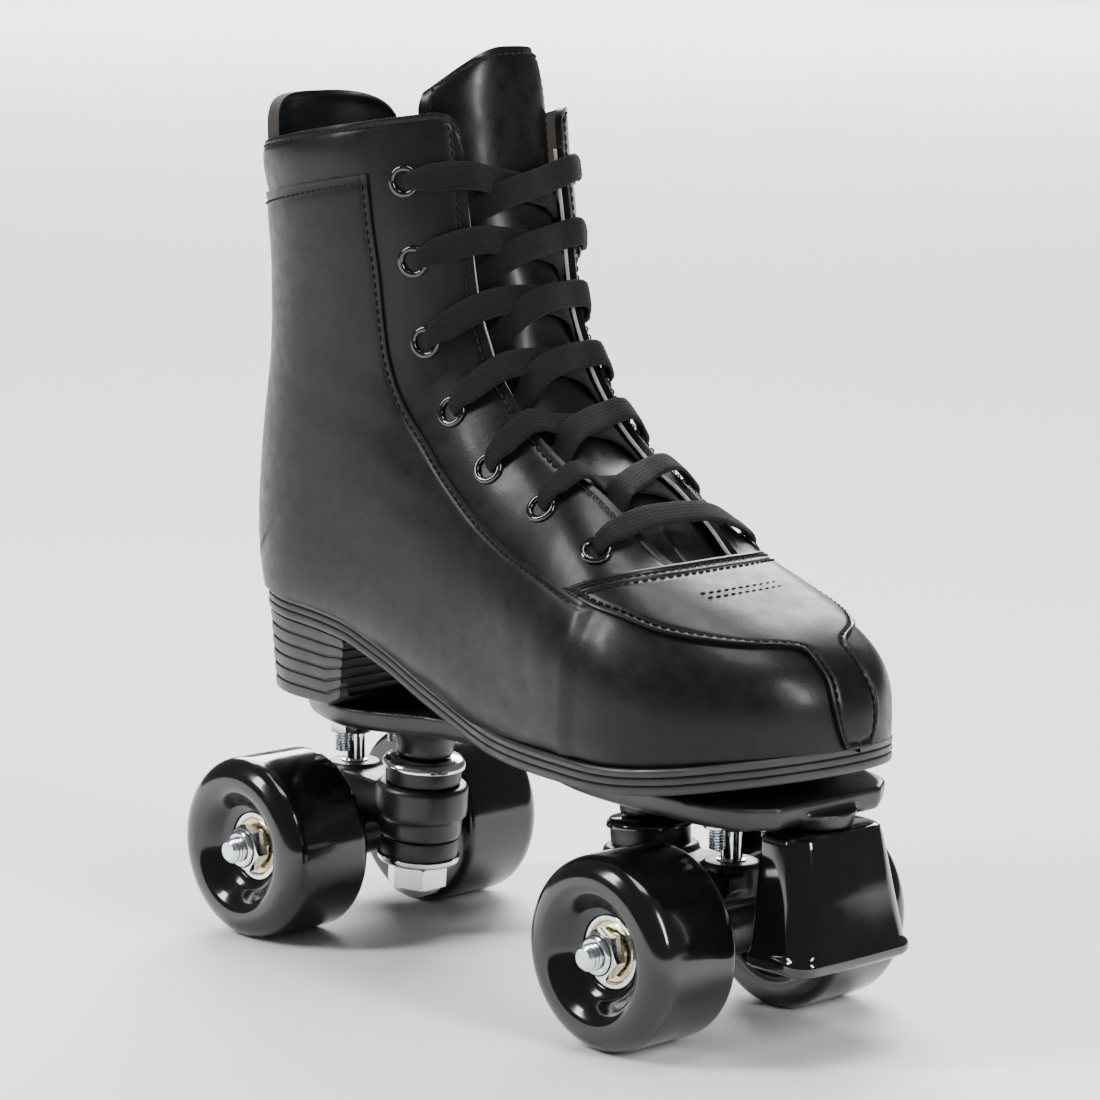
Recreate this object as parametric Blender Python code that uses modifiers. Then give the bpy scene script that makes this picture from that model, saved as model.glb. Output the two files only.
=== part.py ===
"""Quad roller skate: laced boot, baseplate, two steering trucks, four wheels and a toe stop.

Frame: +X towards the toe, +Y towards the wearer's left, +Z up, floor at z = 0.
The boot is a right boot, so its outer side is at -Y.  Sizes below are in millimetres.
"""
import math

import bmesh
import bpy
from mathutils import Matrix, Vector

MM = 0.001
GAP = 0.3

# ---------------------------------------------------------------- driving dimensions
WHEELBASE = 164.0
AXLE_Z = 29.0
WHEEL_R = 29.0
WHEEL_WIDTH = 32.0
WHEEL_MID_Y = 37.3
LIP_R = 19.0
BEARING_R = 11.0
BEARING_BORE_R = 4.0
BEARING_WIDTH = 7.0
BEARING_FACE_Y = 45.0
AXLE_TIP_Y = 56.0
AXLE_NUT_Y = (45.6, 51.6)
AXLE_NUT_FLATS = 13.0

KINGPIN_X = 53.0
KINGPIN_LEAN = math.radians(4.8)
KINGPIN_R = 5.0
RING_MID_Z = 40.2
RING_HEIGHT = 17.4
RING_R = 14.8
CUSHION_R = 12.5
KINGPIN_TOP, KINGPIN_TIP = 31.0, -29.3
UPPER_CUSHION = (9.0, 15.6)
LOWER_CUSHION = (-16.0, -9.0)
UPPER_WASHER = (15.9, 17.3)
LOWER_WASHER = (-17.6, -16.3)
KINGPIN_NUT = (-27.9, -17.9)
KINGPIN_NUT_FLATS = 17.0
PIVOT_X = 86.2
PIVOT_Z = 62.0
PIVOT_PIN_R = 3.3
PIVOT_BOSS_TOP = 50.0

PLATE_TOP = 75.9
PLATE_THICK = 7.2
PLATE_FRONT_X = 126.0
PLATE_BACK_X = -95.0
BOLT_X = {1: 91.0, -1: -79.0}
BOLT_Y = 11.0
BOLT_R = 2.5

STOP_BACK_X = 115.6
STOP_BOTTOM_Z = 28.0
STOP_TOP_Z = 67.0
STOP_STEM_X = 120.0
STEM_R = 5.0

SOLE_THICK = 8.0
HEEL_BREAST_X = -50.0
HEEL_BOTTOM_Z = 76.2
HEEL_CHAMFER_X, HEEL_CHAMFER_RISE = -62.0, 5.6
HEEL_ROUND = 34.0
INSOLE_INSET = 8.4
INSOLE_TOP = 3.8
HEEL_BACK_X = -110.6
TOE_X = 132.2
BOOT_BACK_X = -112.3
STOP_RIM_X = 139.2
FRAME_X = -(STOP_RIM_X + BOOT_BACK_X) / 2
WALL = 3.0
FACING_WALL = 2.4
TONGUE_DROP = 7.4
LACE_WIDTH = 6.4
LACE_THICK = 1.2
LACE_UNDER_WIDTH = 6.0
LACE_EYELET_WIDTH = 2.8
EYELET_HOLE_R = 2.7
EYELET_FLANGE_R = 4.8
EYELET_FLANGE = (0.35, 0.85)
EYELET_STRIP = (-4.0, -3.4)
TONGUE_WALL = 3.0
TONGUE_HALF_Y = 31.0
BACK_TAB_DROP = 3.8
BACK_TAB_WALL = 2.6
BACK_TAB_SPREAD = 40.0

# Half widths of the sole on its outer (right) and inner (left) side, and of the baseplate: (x, y).
SOLE_RIGHT = [(-111.0, 32.0), (-52.0, 34.6), (-28.0, 33.2), (0.0, 35.0), (30.0, 42.8), (56.0, 47.6),
              (82.0, 49.4), (134.0, 49.6)]
SOLE_LEFT = [(-111.0, 32.0), (-52.0, 33.6), (-28.0, 32.2), (0.0, 32.4), (30.0, 36.6), (56.0, 41.0),
             (82.0, 44.4), (134.0, 51.4)]
PLATE_HALF_WIDTH = [(PLATE_BACK_X, 9.0), (-91.0, 16.0), (-80.0, 23.0), (-60.0, 28.5), (-46.0, 25.0),
                    (-28.0, 17.0), (12.0, 17.0), (34.0, 27.0), (60.0, 34.0), (104.0, 35.0), (119.0, 30.0),
                    (PLATE_FRONT_X, 21.0)]

# Top line of the outsole along the boot: (x, z).
SOLE_TOP = [(-119.0, 111.5), (-85.0, 109.8), (-52.0, 107.0), (-35.0, 101.0), (-14.0, 92.6), (8.0, 86.6),
            (30.0, 84.3), (60.0, 84.1), (82.0, 84.3), (100.0, 86.2), (117.0, 89.2), (134.0, 92.2)]

# Sections of the boot from the ball to the collar.  Each one is a plane through a point at the sole
# or back (back_x, back_z) and a point at the ridge or front (front_x, front_z), with a half width, the
# middle's shift to the side, the height of the widest place as a fraction, the roundness below and
# above it, and the angle of the quarter's upper seam.
SECTIONS = [
    (80.0, 79.4, 80.0, 135.6, 46.4, -2.4, 0.30, 5.0, 2.80, 48.0),
    (68.0, 79.2, 70.0, 141.0, 46.2, -3.0, 0.30, 5.0, 2.65, 52.0),
    (55.0, 79.2, 60.5, 149.0, 44.8, -3.0, 0.30, 4.8, 2.45, 56.0),
    (38.0, 78.4, 48.0, 158.2, 42.8, -2.2, 0.32, 5.2, 2.40, 59.5),
    (14.0, 79.6, 33.4, 166.6, 40.5, -0.9, 0.34, 5.0, 2.40, 62.0),
    (-10.0, 84.0, 21.6, 176.2, 38.9, 0.1, 0.36, 4.2, 2.35, 63.5),
    (-36.0, 92.4, 13.4, 186.4, 38.1, 0.7, 0.38, 4.2, 2.30, 64.0),
    (-66.0, 98.0, 8.6, 195.8, 37.5, 1.3, 0.40, 4.6, 2.25, 63.0),
    (-94.5, 99.4, 6.8, 204.0, 37.2, 1.0, 0.42, 4.0, 2.20, 62.0),
    (-107.6, 106.5, 4.4, 210.2, 37.6, 1.0, 0.44, 2.9, 2.20, 62.5),
    (-112.4, 126.0, 2.2, 216.6, 38.2, 1.0, 0.45, 2.4, 2.20, 63.5),
    (-111.6, 151.0, 0.0, 223.6, 39.2, 1.0, 0.47, 2.2, 2.20, 64.5),
    (-106.6, 178.0, -2.2, 231.4, 40.4, 1.0, 0.48, 2.15, 2.20, 65.5),
    (-104.8, 206.0, -4.4, 240.0, 41.6, 0.8, 0.48, 2.1, 2.20, 66.0),
    (-106.0, 233.0, -6.4, 250.4, 42.0, 0.0, 0.48, 2.1, 2.20, 65.5),
    (-107.4, 249.0, -8.6, 266.0, 42.4, 0.0, 0.48, 2.1, 2.20, 65.5),
]
TOE_ROWS = 9
BALL_X = 80.0
BALL_RIDGE_Z = 135.6
THROAT_U = TOE_ROWS + 0.5
COLLAR_SEAM_U = TOE_ROWS + 14.0
COLLAR_TOP_U = TOE_ROWS + 15.0
STRIP_HALF = 8.5
FLAP_EDGE_Y = [(THROAT_U, 13.5), (TOE_ROWS + 2.0, 16.5), (TOE_ROWS + 4.0, 18.5), (COLLAR_TOP_U, 20.5)]
EYELET_U = [TOE_ROWS + k for k in (13.75, 11.85, 9.55, 6.95, 5.25, 3.65, 2.0)]
EYELET_Y = [33.2, 31.4, 29.0, 28.8, 30.4, 30.8, 31.4]


def smooth_table(table, x):
    """Value at x on a Catmull-Rom curve through the table's evenly weighted points."""
    i = 0
    while i < len(table) - 2 and x > table[i + 1][0]:
        i += 1
    x0, x1 = table[i][0], table[i + 1][0]
    t = min(1.0, max(0.0, (x - x0) / (x1 - x0)))
    slopes = []
    for k in (i, i + 1):
        a, b = table[max(0, k - 1)], table[min(len(table) - 1, k + 1)]
        slopes.append((b[1] - a[1]) / (b[0] - a[0]) * (x1 - x0))
    return hermite(table[i][1], table[i + 1][1], slopes[0], slopes[1], t)


def hermite(a, b, slope_a, slope_b, t):
    """Cubic between a and b."""
    t2, t3 = t * t, t * t * t
    return (a * (2 * t3 - 3 * t2 + 1) + slope_a * (t3 - 2 * t2 + t)
            + b * (3 * t2 - 2 * t3) + slope_b * (t3 - t2))


def sole_top(x):
    return smooth_table(SOLE_TOP, x)


def power_round(x, start, power):
    """1 at start, 0 at the tip of the toe, along a rounded corner."""
    t = max(0.0, (x - start) / (TOE_X - start))
    return max(0.0, 1.0 - t ** power) ** (1.0 / power)


def toe_section(x):
    """Upright section of the toe: its width and height close in a rounded tip."""
    width = 46.9 * power_round(x, 70.0, 2.1)
    low = sole_top(x) - 5.0
    ridge = BALL_RIDGE_Z - 0.4 * (x - BALL_X)
    high = low + (ridge - low) * power_round(x, 100.0, 4.0)
    middle = -2.4 + 5.4 * (x - BALL_X) / (TOE_X - BALL_X)
    wing = 48.0 * math.sqrt(max(0.0, 1.0 - ((x - BALL_X) / 40.0) ** 2))
    strip = math.degrees(math.asin(min(1.0, (STRIP_HALF / max(width, 0.1)) ** 1.4)))
    return (x, low, x, high, width, middle, 0.30, 5.0, 2.80, max(wing, strip))


TOE_ANGLES = [89.6, 85.0, 77.0, 68.0, 58.0, 48.0, 37.0, 25.0, 12.5]
ROWS = [toe_section(BALL_X + (TOE_X - BALL_X) * math.sin(math.radians(a))) for a in TOE_ANGLES] + SECTIONS


def section_at(u):
    """Section at station u, on a smooth curve through the rows."""
    i = min(len(ROWS) - 2, max(0, int(u)))
    t = u - i
    here, after = ROWS[i], ROWS[i + 1]
    before, beyond = ROWS[max(0, i - 1)], ROWS[min(len(ROWS) - 1, i + 2)]
    return [hermite(a, b, (b - p) / 2, (q - a) / 2, t) for p, a, b, q in zip(before, here, after, beyond)]


def boot_point(u, angle, side):
    """Point on the boot's outer face: angle 0 is the ridge or front, 180 the sole or back."""
    bx, bz, fx, fz, width, middle, widest, low_n, high_n, _ = section_at(u)
    c, s = math.cos(math.radians(angle)), math.sin(math.radians(angle))
    if c >= 0:
        t = widest + (1 - widest) * c ** (2 / high_n)
        y = width * max(0.0, s) ** (2 / high_n)
    else:
        t = widest - widest * (-c) ** (2 / low_n)
        y = width * max(0.0, s) ** (2 / low_n)
    return Vector((bx + (fx - bx) * t, middle + side * y, bz + (fz - bz) * t))


def boot_normal(u, angle, side):
    """Outward direction of the boot's face."""
    top = COLLAR_TOP_U
    along = boot_point(min(top, u + 0.04), angle, side) - boot_point(max(0.0, u - 0.04), angle, side)
    a0, a1 = angle - 1.5, angle + 1.5
    low = boot_point(u, abs(a0), side if a0 >= 0 else -side)
    high = boot_point(u, a1 if a1 <= 180 else 360 - a1, side if a1 <= 180 else -side)
    n = (high - low).cross(along) * side
    return n.normalized()


def lifted(u, angle, side, height):
    """Point at a height over the boot's outer face."""
    return boot_point(u, angle, side) + boot_normal(u, angle, side) * height


def angle_of_y(u, y, side):
    """Angle at which the upper part of a section reaches a distance from the middle plane."""
    _, _, _, _, width, middle, _, _, high_n, _ = section_at(u)
    t = min(1.0, max(0.0, (y - side * middle) / width))
    return math.degrees(math.asin(t ** (high_n / 2)))


def flap_angle(u, side):
    """Angle of the flap's front edge; ahead of the throat it is only a grid line."""
    if u >= THROAT_U:
        return angle_of_y(u, smooth_table(FLAP_EDGE_Y, u), side)
    return section_at(u)[9] * 0.32


def seam_angle(u):
    return section_at(u)[9]


def sole_angle(u, side):
    """Angle at which a section meets the outsole's top, or 180 where it ends at the back."""
    low, high = 0.0, 180.0
    p = boot_point(u, 180.0, side)
    if p.z > sole_top(p.x) + GAP:
        return 180.0
    for _ in range(24):
        mid = (low + high) / 2
        p = boot_point(u, mid, side)
        if p.z > sole_top(p.x) + GAP:
            low = mid
        else:
            high = mid
    return low


# ---------------------------------------------------------------- scene helpers
def clear_scene():
    for obj in list(bpy.data.objects):
        bpy.data.objects.remove(obj, do_unlink=True)


def new_collection(name):
    made = bpy.data.collections.new(name)
    bpy.context.scene.collection.children.link(made)
    return made


clear_scene()
SKATE = new_collection("roller_skate")
CUTTERS = new_collection("cutters")


def material(name, color, roughness, metallic=0.0):
    made = bpy.data.materials.new(name)
    made.use_nodes = True
    shader = made.node_tree.nodes["Principled BSDF"]
    shader.inputs["Base Color"].default_value = (*color, 1.0)
    shader.inputs["Roughness"].default_value = roughness
    shader.inputs["Metallic"].default_value = metallic
    return made


LEATHER = ((0.012, 0.012, 0.013), 0.42)
RUBBER = ((0.018, 0.018, 0.019), 0.55)
PLASTIC = ((0.01, 0.01, 0.011), 0.35)
GLOSS = ((0.006, 0.006, 0.007), 0.08)
STEEL = ((0.75, 0.76, 0.78), 0.2, 1.0)
LINING = ((0.08, 0.075, 0.07), 0.8)
WOVEN = ((0.01, 0.01, 0.011), 0.85)


def empty(name, place, parent=None, offset=(0.0, 0.0, 0.0)):
    """Marker in the parent's frame; joint markers stand on their joint's axis."""
    made = bpy.data.objects.new(name, None)
    made.empty_display_size = 0.02
    SKATE.objects.link(made)
    made.parent = parent
    made.location = (Vector(place) - Vector(offset)) * MM
    return made


# Midway between the axles in the drawing; it is shifted so that the whole skate is centred at x = 0.
FRAME = empty("skate_frame", (FRAME_X, 0.0, 0.0))


def add_object(name, mesh, finish, joint=None, smooth=40.0, cutter=False):
    """Object of the drawing; joint is a (marker, place) pair, and its mesh is moved to that marker."""
    obj = bpy.data.objects.new(name, mesh)
    (CUTTERS if cutter else SKATE).objects.link(obj)
    obj.parent = FRAME
    if cutter:
        obj.hide_render = True
        obj.display_type = "WIRE"
        return obj
    obj.data.materials.append(material(name, *finish))
    obj.data.shade_smooth()
    obj.data.set_sharp_from_angle(angle=math.radians(smooth))
    if joint:
        marker, place = joint
        obj.data.transform(Matrix.Translation(Vector(place) * -MM))
        obj.parent = marker
    return obj


def mesh_from(name, points, faces):
    """Mesh from points in millimetres, with its faces turned outwards."""
    mesh = bpy.data.meshes.new(name)
    mesh.from_pydata([Vector(p) * MM for p in points], [], faces)
    work = bmesh.new()
    work.from_mesh(mesh)
    bmesh.ops.recalc_face_normals(work, faces=work.faces)
    work.to_mesh(mesh)
    work.free()
    return mesh


def baked(obj):
    """Mesh of an object with its modifiers applied, in the drawing's coordinates."""
    bpy.context.view_layer.update()
    source = obj.evaluated_get(bpy.context.evaluated_depsgraph_get())
    return bpy.data.meshes.new_from_object(source)


def boolean(obj, tool, operation):
    change = obj.modifiers.new(operation.lower(), "BOOLEAN")
    change.operation = operation
    change.solver = "EXACT"
    change.object = tool


def bevel(obj, width, segments=2, angle=35.0):
    change = obj.modifiers.new("edges", "BEVEL")
    change.width = width * MM
    change.segments = segments
    change.limit_method = "ANGLE"
    change.angle_limit = math.radians(angle)


def turned(name, profile, place, axis, finish, joint=None, steps=20, cutter=False):
    """Closed profile of (radius, height) points turned about an axis through a place."""
    points = [Vector((r, 0, h)) * MM for r, h in profile]
    mesh = bpy.data.meshes.new(name)
    closed = profile[0][0] > 0.001
    edges = [(i, i + 1) for i in range(len(points) - 1)] + ([(len(points) - 1, 0)] if closed else [])
    mesh.from_pydata(points, edges, [])
    guide = bpy.data.objects.new(name + "_profile", mesh)
    CUTTERS.objects.link(guide)
    screw = guide.modifiers.new("turn", "SCREW")
    screw.steps = screw.render_steps = steps
    screw.use_merge_vertices = True
    screw.merge_threshold = 0.00001
    solid = baked(guide)
    bpy.data.objects.remove(guide, do_unlink=True)
    work = bmesh.new()
    work.from_mesh(solid)
    bmesh.ops.remove_doubles(work, verts=work.verts, dist=0.00001)
    bmesh.ops.recalc_face_normals(work, faces=work.faces)
    work.to_mesh(solid)
    work.free()
    turn = Vector((0, 0, 1)).rotation_difference(Vector(axis)).to_matrix().to_4x4()
    solid.transform(Matrix.Translation(Vector(place) * MM) @ turn)
    return add_object(name, solid, finish, joint, cutter=cutter)


def ring_profile(inner, outer, low, high, ease=0.5):
    """Rectangle with its outer corners eased, as a closed profile for turned()."""
    return [(inner, high), (outer - ease, high), (outer, high - ease), (outer, low + ease),
            (outer - ease, low), (inner, low)]


def tube_profile(inner, outer, low, high):
    """Plain rectangle, as a closed profile for turned()."""
    return [(inner, high), (outer, high), (outer, low), (inner, low)]


def rod_profile(radius, low, high, ease=0.5):
    return [(0.0, high), (radius - ease, high), (radius, high - ease), (radius, low + ease),
            (radius - ease, low), (0.0, low)]


def prism(name, outline, low, high, place, axis, finish, joint=None, bore=0.0, cutter=False, turn=0.0):
    """Outline of (x, y) points pulled from low to high along an axis, with an optional round bore."""
    count = len(outline)
    points = [(x, y, z) for z in (low, high) for x, y in outline]
    faces = [tuple(range(count)), tuple(range(count, 2 * count))]
    faces += [(i, (i + 1) % count, count + (i + 1) % count, count + i) for i in range(count)]
    mesh = mesh_from(name, points, faces)
    move = (Matrix.Translation(Vector(place) * MM)
            @ Vector((0, 0, 1)).rotation_difference(Vector(axis)).to_matrix().to_4x4()
            @ Matrix.Rotation(turn, 4, "Z"))
    mesh.transform(move)
    made = add_object(name, mesh, finish, joint, cutter=cutter)
    if bore:
        tool = turned(name + "_bore", rod_profile(bore, low - 2, high + 2, 0.1), place, axis, finish,
                      steps=12, cutter=True)
        boolean(made, tool, "DIFFERENCE")
    return made


def polygon(flats, sides=6):
    """Corners of a regular polygon, given its width across the flats."""
    radius = flats / 2 / math.cos(math.pi / sides)
    return [(radius * math.cos(math.tau * i / sides), radius * math.sin(math.tau * i / sides))
            for i in range(sides)]


# ---------------------------------------------------------------- boot upper
def station_list(low, high):
    """Grid stations from low to high, half a row apart over the instep and a whole row elsewhere."""
    stations = [float(k) for k in range(TOE_ROWS)]
    u = float(TOE_ROWS)
    while u <= COLLAR_TOP_U + 0.001:
        stations.append(u)
        u += 0.5 if u < TOE_ROWS + 8.0 else 1.0
    return [u for u in stations if low - 0.001 <= u <= high + 0.001]


FRONT_CELLS, FACING_CELLS, QUARTER_CELLS = 2, 3, 6


def grid_angles(u, side):
    """Angles of the grid lines from the ridge down to the sole or the back."""
    marks = [0.0, flap_angle(u, side), seam_angle(u), sole_angle(u, side)]
    marks[2] = min(marks[2], marks[3])
    marks[1] = min(marks[1], marks[2] * 0.9)
    angles = [0.0]
    for cells, a, b in zip((FRONT_CELLS, FACING_CELLS, QUARTER_CELLS), marks, marks[1:]):
        angles += [a + (b - a) * (k + 1) / cells for k in range(cells)]
    return angles


def panel(name, cells, finish, thickness=WALL, cap_row=None):
    """Shell over some cells of the boot's grid, pulled back a little from its neighbours."""
    stations = station_list(0.0, COLLAR_TOP_U)
    index, outer, inner, faces = {}, [], [], []

    def vertex(i, j, side):
        key = (i, j, side if j else 0)
        if key not in index:
            index[key] = len(outer)
            angle = grid_angles(stations[i], side)[j]
            outer.append(boot_point(stations[i], angle, side))
            inner.append(boot_normal(stations[i], angle, side) * -thickness)
        return index[key]

    for i, j, side in cells:
        quad = [vertex(i, j, side), vertex(i + 1, j, side), vertex(i + 1, j + 1, side),
                vertex(i, j + 1, side)]
        faces.append(quad[::-1] if side > 0 else quad)
    if cap_row is not None:
        for j in range(FRONT_CELLS + FACING_CELLS):
            ends = [vertex(cap_row, j, 1), vertex(cap_row, j + 1, 1), vertex(cap_row, j + 1, -1),
                    vertex(cap_row, j, -1)]
            faces.append(list(dict.fromkeys(ends))[::-1])
    outer = pull_back(outer, faces, GAP * 0.7)
    count = len(outer)
    points = outer + [p + step for p, step in zip(outer, inner)]
    uses = {}
    for face in faces:
        for a, b in zip(face, face[1:] + face[:1]):
            uses.setdefault(frozenset((a, b)), []).append((a, b))
    walls = [(b, a, a + count, b + count) for ends in uses.values() if len(ends) == 1 for a, b in ends]
    inside = [[k + count for k in reversed(face)] for face in faces]
    return add_object(name, mesh_from(name, points, faces + inside + walls), finish, smooth=60.0)


def pull_back(points, faces, distance):
    """Move the points on the open border a little towards the faces beside them."""
    uses, beside = {}, {}
    for face in faces:
        middle = sum((points[k] for k in face), Vector()) / len(face)
        for a, b in zip(face, face[1:] + face[:1]):
            uses[frozenset((a, b))] = uses.get(frozenset((a, b)), 0) + 1
            beside.setdefault(a, []).append(middle)
    border = {k for edge, count in uses.items() if count == 1 for k in edge}
    moved = list(points)
    for k in border:
        middles = beside[k]
        inward = sum(middles, Vector()) / len(middles) - points[k]
        if inward.length > 0.01:
            moved[k] = points[k] + inward.normalized() * distance
    return moved


def station_index(u):
    return station_list(0.0, COLLAR_TOP_U).index(u)


def make_upper():
    last = len(station_list(0.0, COLLAR_TOP_U)) - 1
    throat, collar = station_index(THROAT_U), station_index(COLLAR_SEAM_U)
    seam_cell = FRONT_CELLS + FACING_CELLS
    end_cell = seam_cell + QUARTER_CELLS
    panel("vamp", [(i, j, s) for i in range(1, throat) for j in range(seam_cell) for s in (1, -1)], LEATHER,
          cap_row=1)
    for side, label in ((1, "left"), (-1, "right")):
        panel("quarter_" + label, [(i, j, side) for i in range(1, collar)
                                   for j in range(seam_cell, end_cell)], LEATHER)
        flap = [(i, j, side) for i in range(throat, last) for j in range(FRONT_CELLS, seam_cell)]
        cuff = [(i, j, side) for i in range(collar, last) for j in range(seam_cell, end_cell)]
        facing = panel("facing_" + label, flap + cuff, LEATHER, FACING_WALL)
        holes = eyelet_cylinders("facing_%s_holes" % label, side, EYELET_HOLE_R + 1.5, -8.0, 6.0)
        boolean(facing, holes, "DIFFERENCE")


def eyelet_centre(n, side):
    u = EYELET_U[n]
    angle = angle_of_y(u, EYELET_Y[n], side)
    return u, angle


def eyelet_cylinders(name, side, radius, low, high):
    """Round cutters, one through each eyelet of a row."""
    tools = []
    for n in range(len(EYELET_U)):
        u, angle = eyelet_centre(n, side)
        tools.append(turned("%s_%d" % (name, n), rod_profile(radius, low, high, 0.1),
                            boot_point(u, angle, side), boot_normal(u, angle, side), LEATHER,
                            steps=12, cutter=True))
    return joined(name, tools)


def joined(name, objects):
    """One cutter holding the meshes of several."""
    work = bmesh.new()
    for obj in objects:
        mesh = baked(obj)
        work.from_mesh(mesh)
        bpy.data.objects.remove(obj, do_unlink=True)
    mesh = bpy.data.meshes.new(name)
    work.to_mesh(mesh)
    work.free()
    return add_object(name, mesh, LEATHER, cutter=True)


def make_eyelet_row(side, label):
    """Eyelets held by one backing strip under the flap."""
    low, high = EYELET_FLANGE
    tools = []
    for n in range(len(EYELET_U)):
        u, angle = eyelet_centre(n, side)
        tube = EYELET_HOLE_R + 0.9
        profile = [(EYELET_HOLE_R, high), (EYELET_FLANGE_R, high), (EYELET_FLANGE_R, low), (tube, low),
                   (tube, EYELET_STRIP[0] + 0.1), (EYELET_HOLE_R, EYELET_STRIP[0] + 0.1)]
        tools.append(turned("eyelet_%d" % n, profile, boot_point(u, angle, side),
                            boot_normal(u, angle, side), GLOSS, steps=10, cutter=True))
    tubes = joined("eyelet_tubes_" + label, tools)
    strip = strip_under_flap("eyelet_row_" + label, side)
    boolean(strip, tubes, "UNION")
    bores = eyelet_cylinders("eyelet_bores_" + label, side, EYELET_HOLE_R - 0.05, -8.0, 6.0)
    boolean(strip, bores, "DIFFERENCE")


def strip_under_flap(name, side):
    """Backing strip that follows the eyelets under the flap."""
    points, faces = [], []
    us = [EYELET_U[0] + 0.12] + EYELET_U[:] + [EYELET_U[-1] - 0.28]
    ys = [EYELET_Y[0]] + EYELET_Y[:] + [EYELET_Y[-1]]
    pairs = []
    for k in range(len(us) - 1):
        for m in range(2):
            t = m / 2
            pairs.append((us[k] + (us[k + 1] - us[k]) * t, ys[k] + (ys[k + 1] - ys[k]) * t))
    pairs.append((us[-1], ys[-1]))
    for u, y in pairs:
        angle = angle_of_y(u, y, side)
        width = (boot_point(u, angle + 1, side) - boot_point(u, angle - 1, side)).length / 2
        for step in (-4.2 / width, 4.2 / width):
            for height in EYELET_STRIP:
                points.append(lifted(u, angle + step, side, height))
    for k in range(len(pairs) - 1):
        a, b = 4 * k, 4 * k + 4
        for p, q in ((0, 1), (1, 3), (3, 2), (2, 0)):
            faces.append((a + p, a + q, b + q, b + p))
    last = 4 * (len(pairs) - 1)
    faces += [(0, 1, 3, 2), (last, last + 1, last + 3, last + 2)]
    return add_object(name, mesh_from(name, points, faces), GLOSS)


TONGUE_LIFT = [(6.0, 1.0), (12.0, 0.93), (16.5, 0.8), (19.0, 0.6)]
BACK_TAB_LIFT = [(6.0, 0.97), (11.0, 0.85), (14.4, 0.66), (16.2, 0.42)]


def make_tongue():
    """Curved sheet under the flaps that stands above the collar, with round top corners."""
    across = [k / 4 for k in range(-4, 5)]
    widths = [(THROAT_U - 1.5, 15.0), (THROAT_U + 2.0, 24.0), (COLLAR_TOP_U, TONGUE_HALF_Y)]
    rows = []
    for u in station_list(THROAT_U - 1.5, COLLAR_TOP_U):
        half = smooth_table(widths, u)
        rows.append([lifted(u, angle_of_y(u, abs(t) * half, 1 if t >= 0 else -1), 1 if t >= 0 else -1,
                            -TONGUE_DROP) for t in across])
    rows += raised_rows(rows, TONGUE_LIFT)
    standing_sheet("tongue", rows, TONGUE_WALL, LEATHER)


def make_back_tab():
    """Lobe of the lining that stands above the collar at the back."""
    rows = []
    for u in (COLLAR_SEAM_U - 0.6, COLLAR_SEAM_U + 0.2, COLLAR_TOP_U):
        rows.append([lifted(u, 180.0 - abs(k) * BACK_TAB_SPREAD / 4, 1 if k <= 0 else -1, -BACK_TAB_DROP)
                     for k in range(-4, 5)])
    rows += raised_rows(rows, BACK_TAB_LIFT)
    standing_sheet("back_tab", rows, BACK_TAB_WALL, LINING)


def raised_rows(rows, lift):
    """Further rows above the last one, along its lean; each is (rise, share of the width)."""
    top = rows[-1]
    middle = len(top) // 2
    lean = (top[middle] - rows[-2][middle]).normalized()
    return [[Vector((p.x, p.y * share, p.z)) + lean * rise for p in top] for rise, share in lift]


def standing_sheet(name, rows, thickness, finish):
    """Sheet through rows of points, thickened towards the inside of the boot."""
    points = [p for row in rows for p in row]
    wide = len(rows[0])
    faces = [(i * wide + j, (i + 1) * wide + j, (i + 1) * wide + j + 1, i * wide + j + 1)
             for i in range(len(rows) - 1) for j in range(wide - 1)]
    mesh = bpy.data.meshes.new(name)
    mesh.from_pydata([p * MM for p in points], [], faces)
    sheet = add_object(name, mesh, finish, smooth=60.0)
    wall = sheet.modifiers.new("wall", "SOLIDIFY")
    wall.thickness = thickness * MM
    wall.offset = 1.0


def sole_outline(x):
    """Outer and inner side of the sole at x, as (right y, left y)."""
    toe = power_round(x, 70.0, 2.1)
    right, left = smooth_table(SOLE_RIGHT, x), smooth_table(SOLE_LEFT, x)
    heel = 1.0
    if x < HEEL_BACK_X + HEEL_ROUND:
        t = (HEEL_BACK_X + HEEL_ROUND - x) / HEEL_ROUND
        heel = max(0.0, 1.0 - t ** 2.15) ** (1 / 2.15)
    middle = 3.0 * max(0.0, (x - 100.0) / 32.0)
    return middle * (1 - toe) - right * toe * heel, middle * (1 - toe) + left * toe * heel


def sole_stations(start, stop, count=26):
    """Places along the boot, closer together at its round ends."""
    middle, reach = (start + stop) / 2, (stop - start) / 2
    return [middle - reach * math.cos(math.pi * k / (count - 1)) for k in range(count)]


def slab(name, stations, inset, top, bottom, finish, inset_low=None):
    """Closed slab between two heights that follows the sole's outline."""
    points, faces = [], []
    inset_low = inset if inset_low is None else inset_low
    for x in stations:
        for level, margin in ((top, inset), (bottom, inset_low)):
            right, left = sole_outline(x)
            right, left = min(right + margin, -0.6), max(left - margin, 0.6)
            points += [(x, right, level(x)), (x, left, level(x))]
    for k in range(len(stations) - 1):
        a, b = 4 * k, 4 * k + 4
        for p, q in ((0, 1), (1, 3), (3, 2), (2, 0)):
            faces.append((a + p, a + q, b + q, b + p))
    last = 4 * (len(stations) - 1)
    faces += [(0, 1, 3, 2), (last, last + 1, last + 3, last + 2)]
    return add_object(name, mesh_from(name, points, faces), finish)


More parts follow.
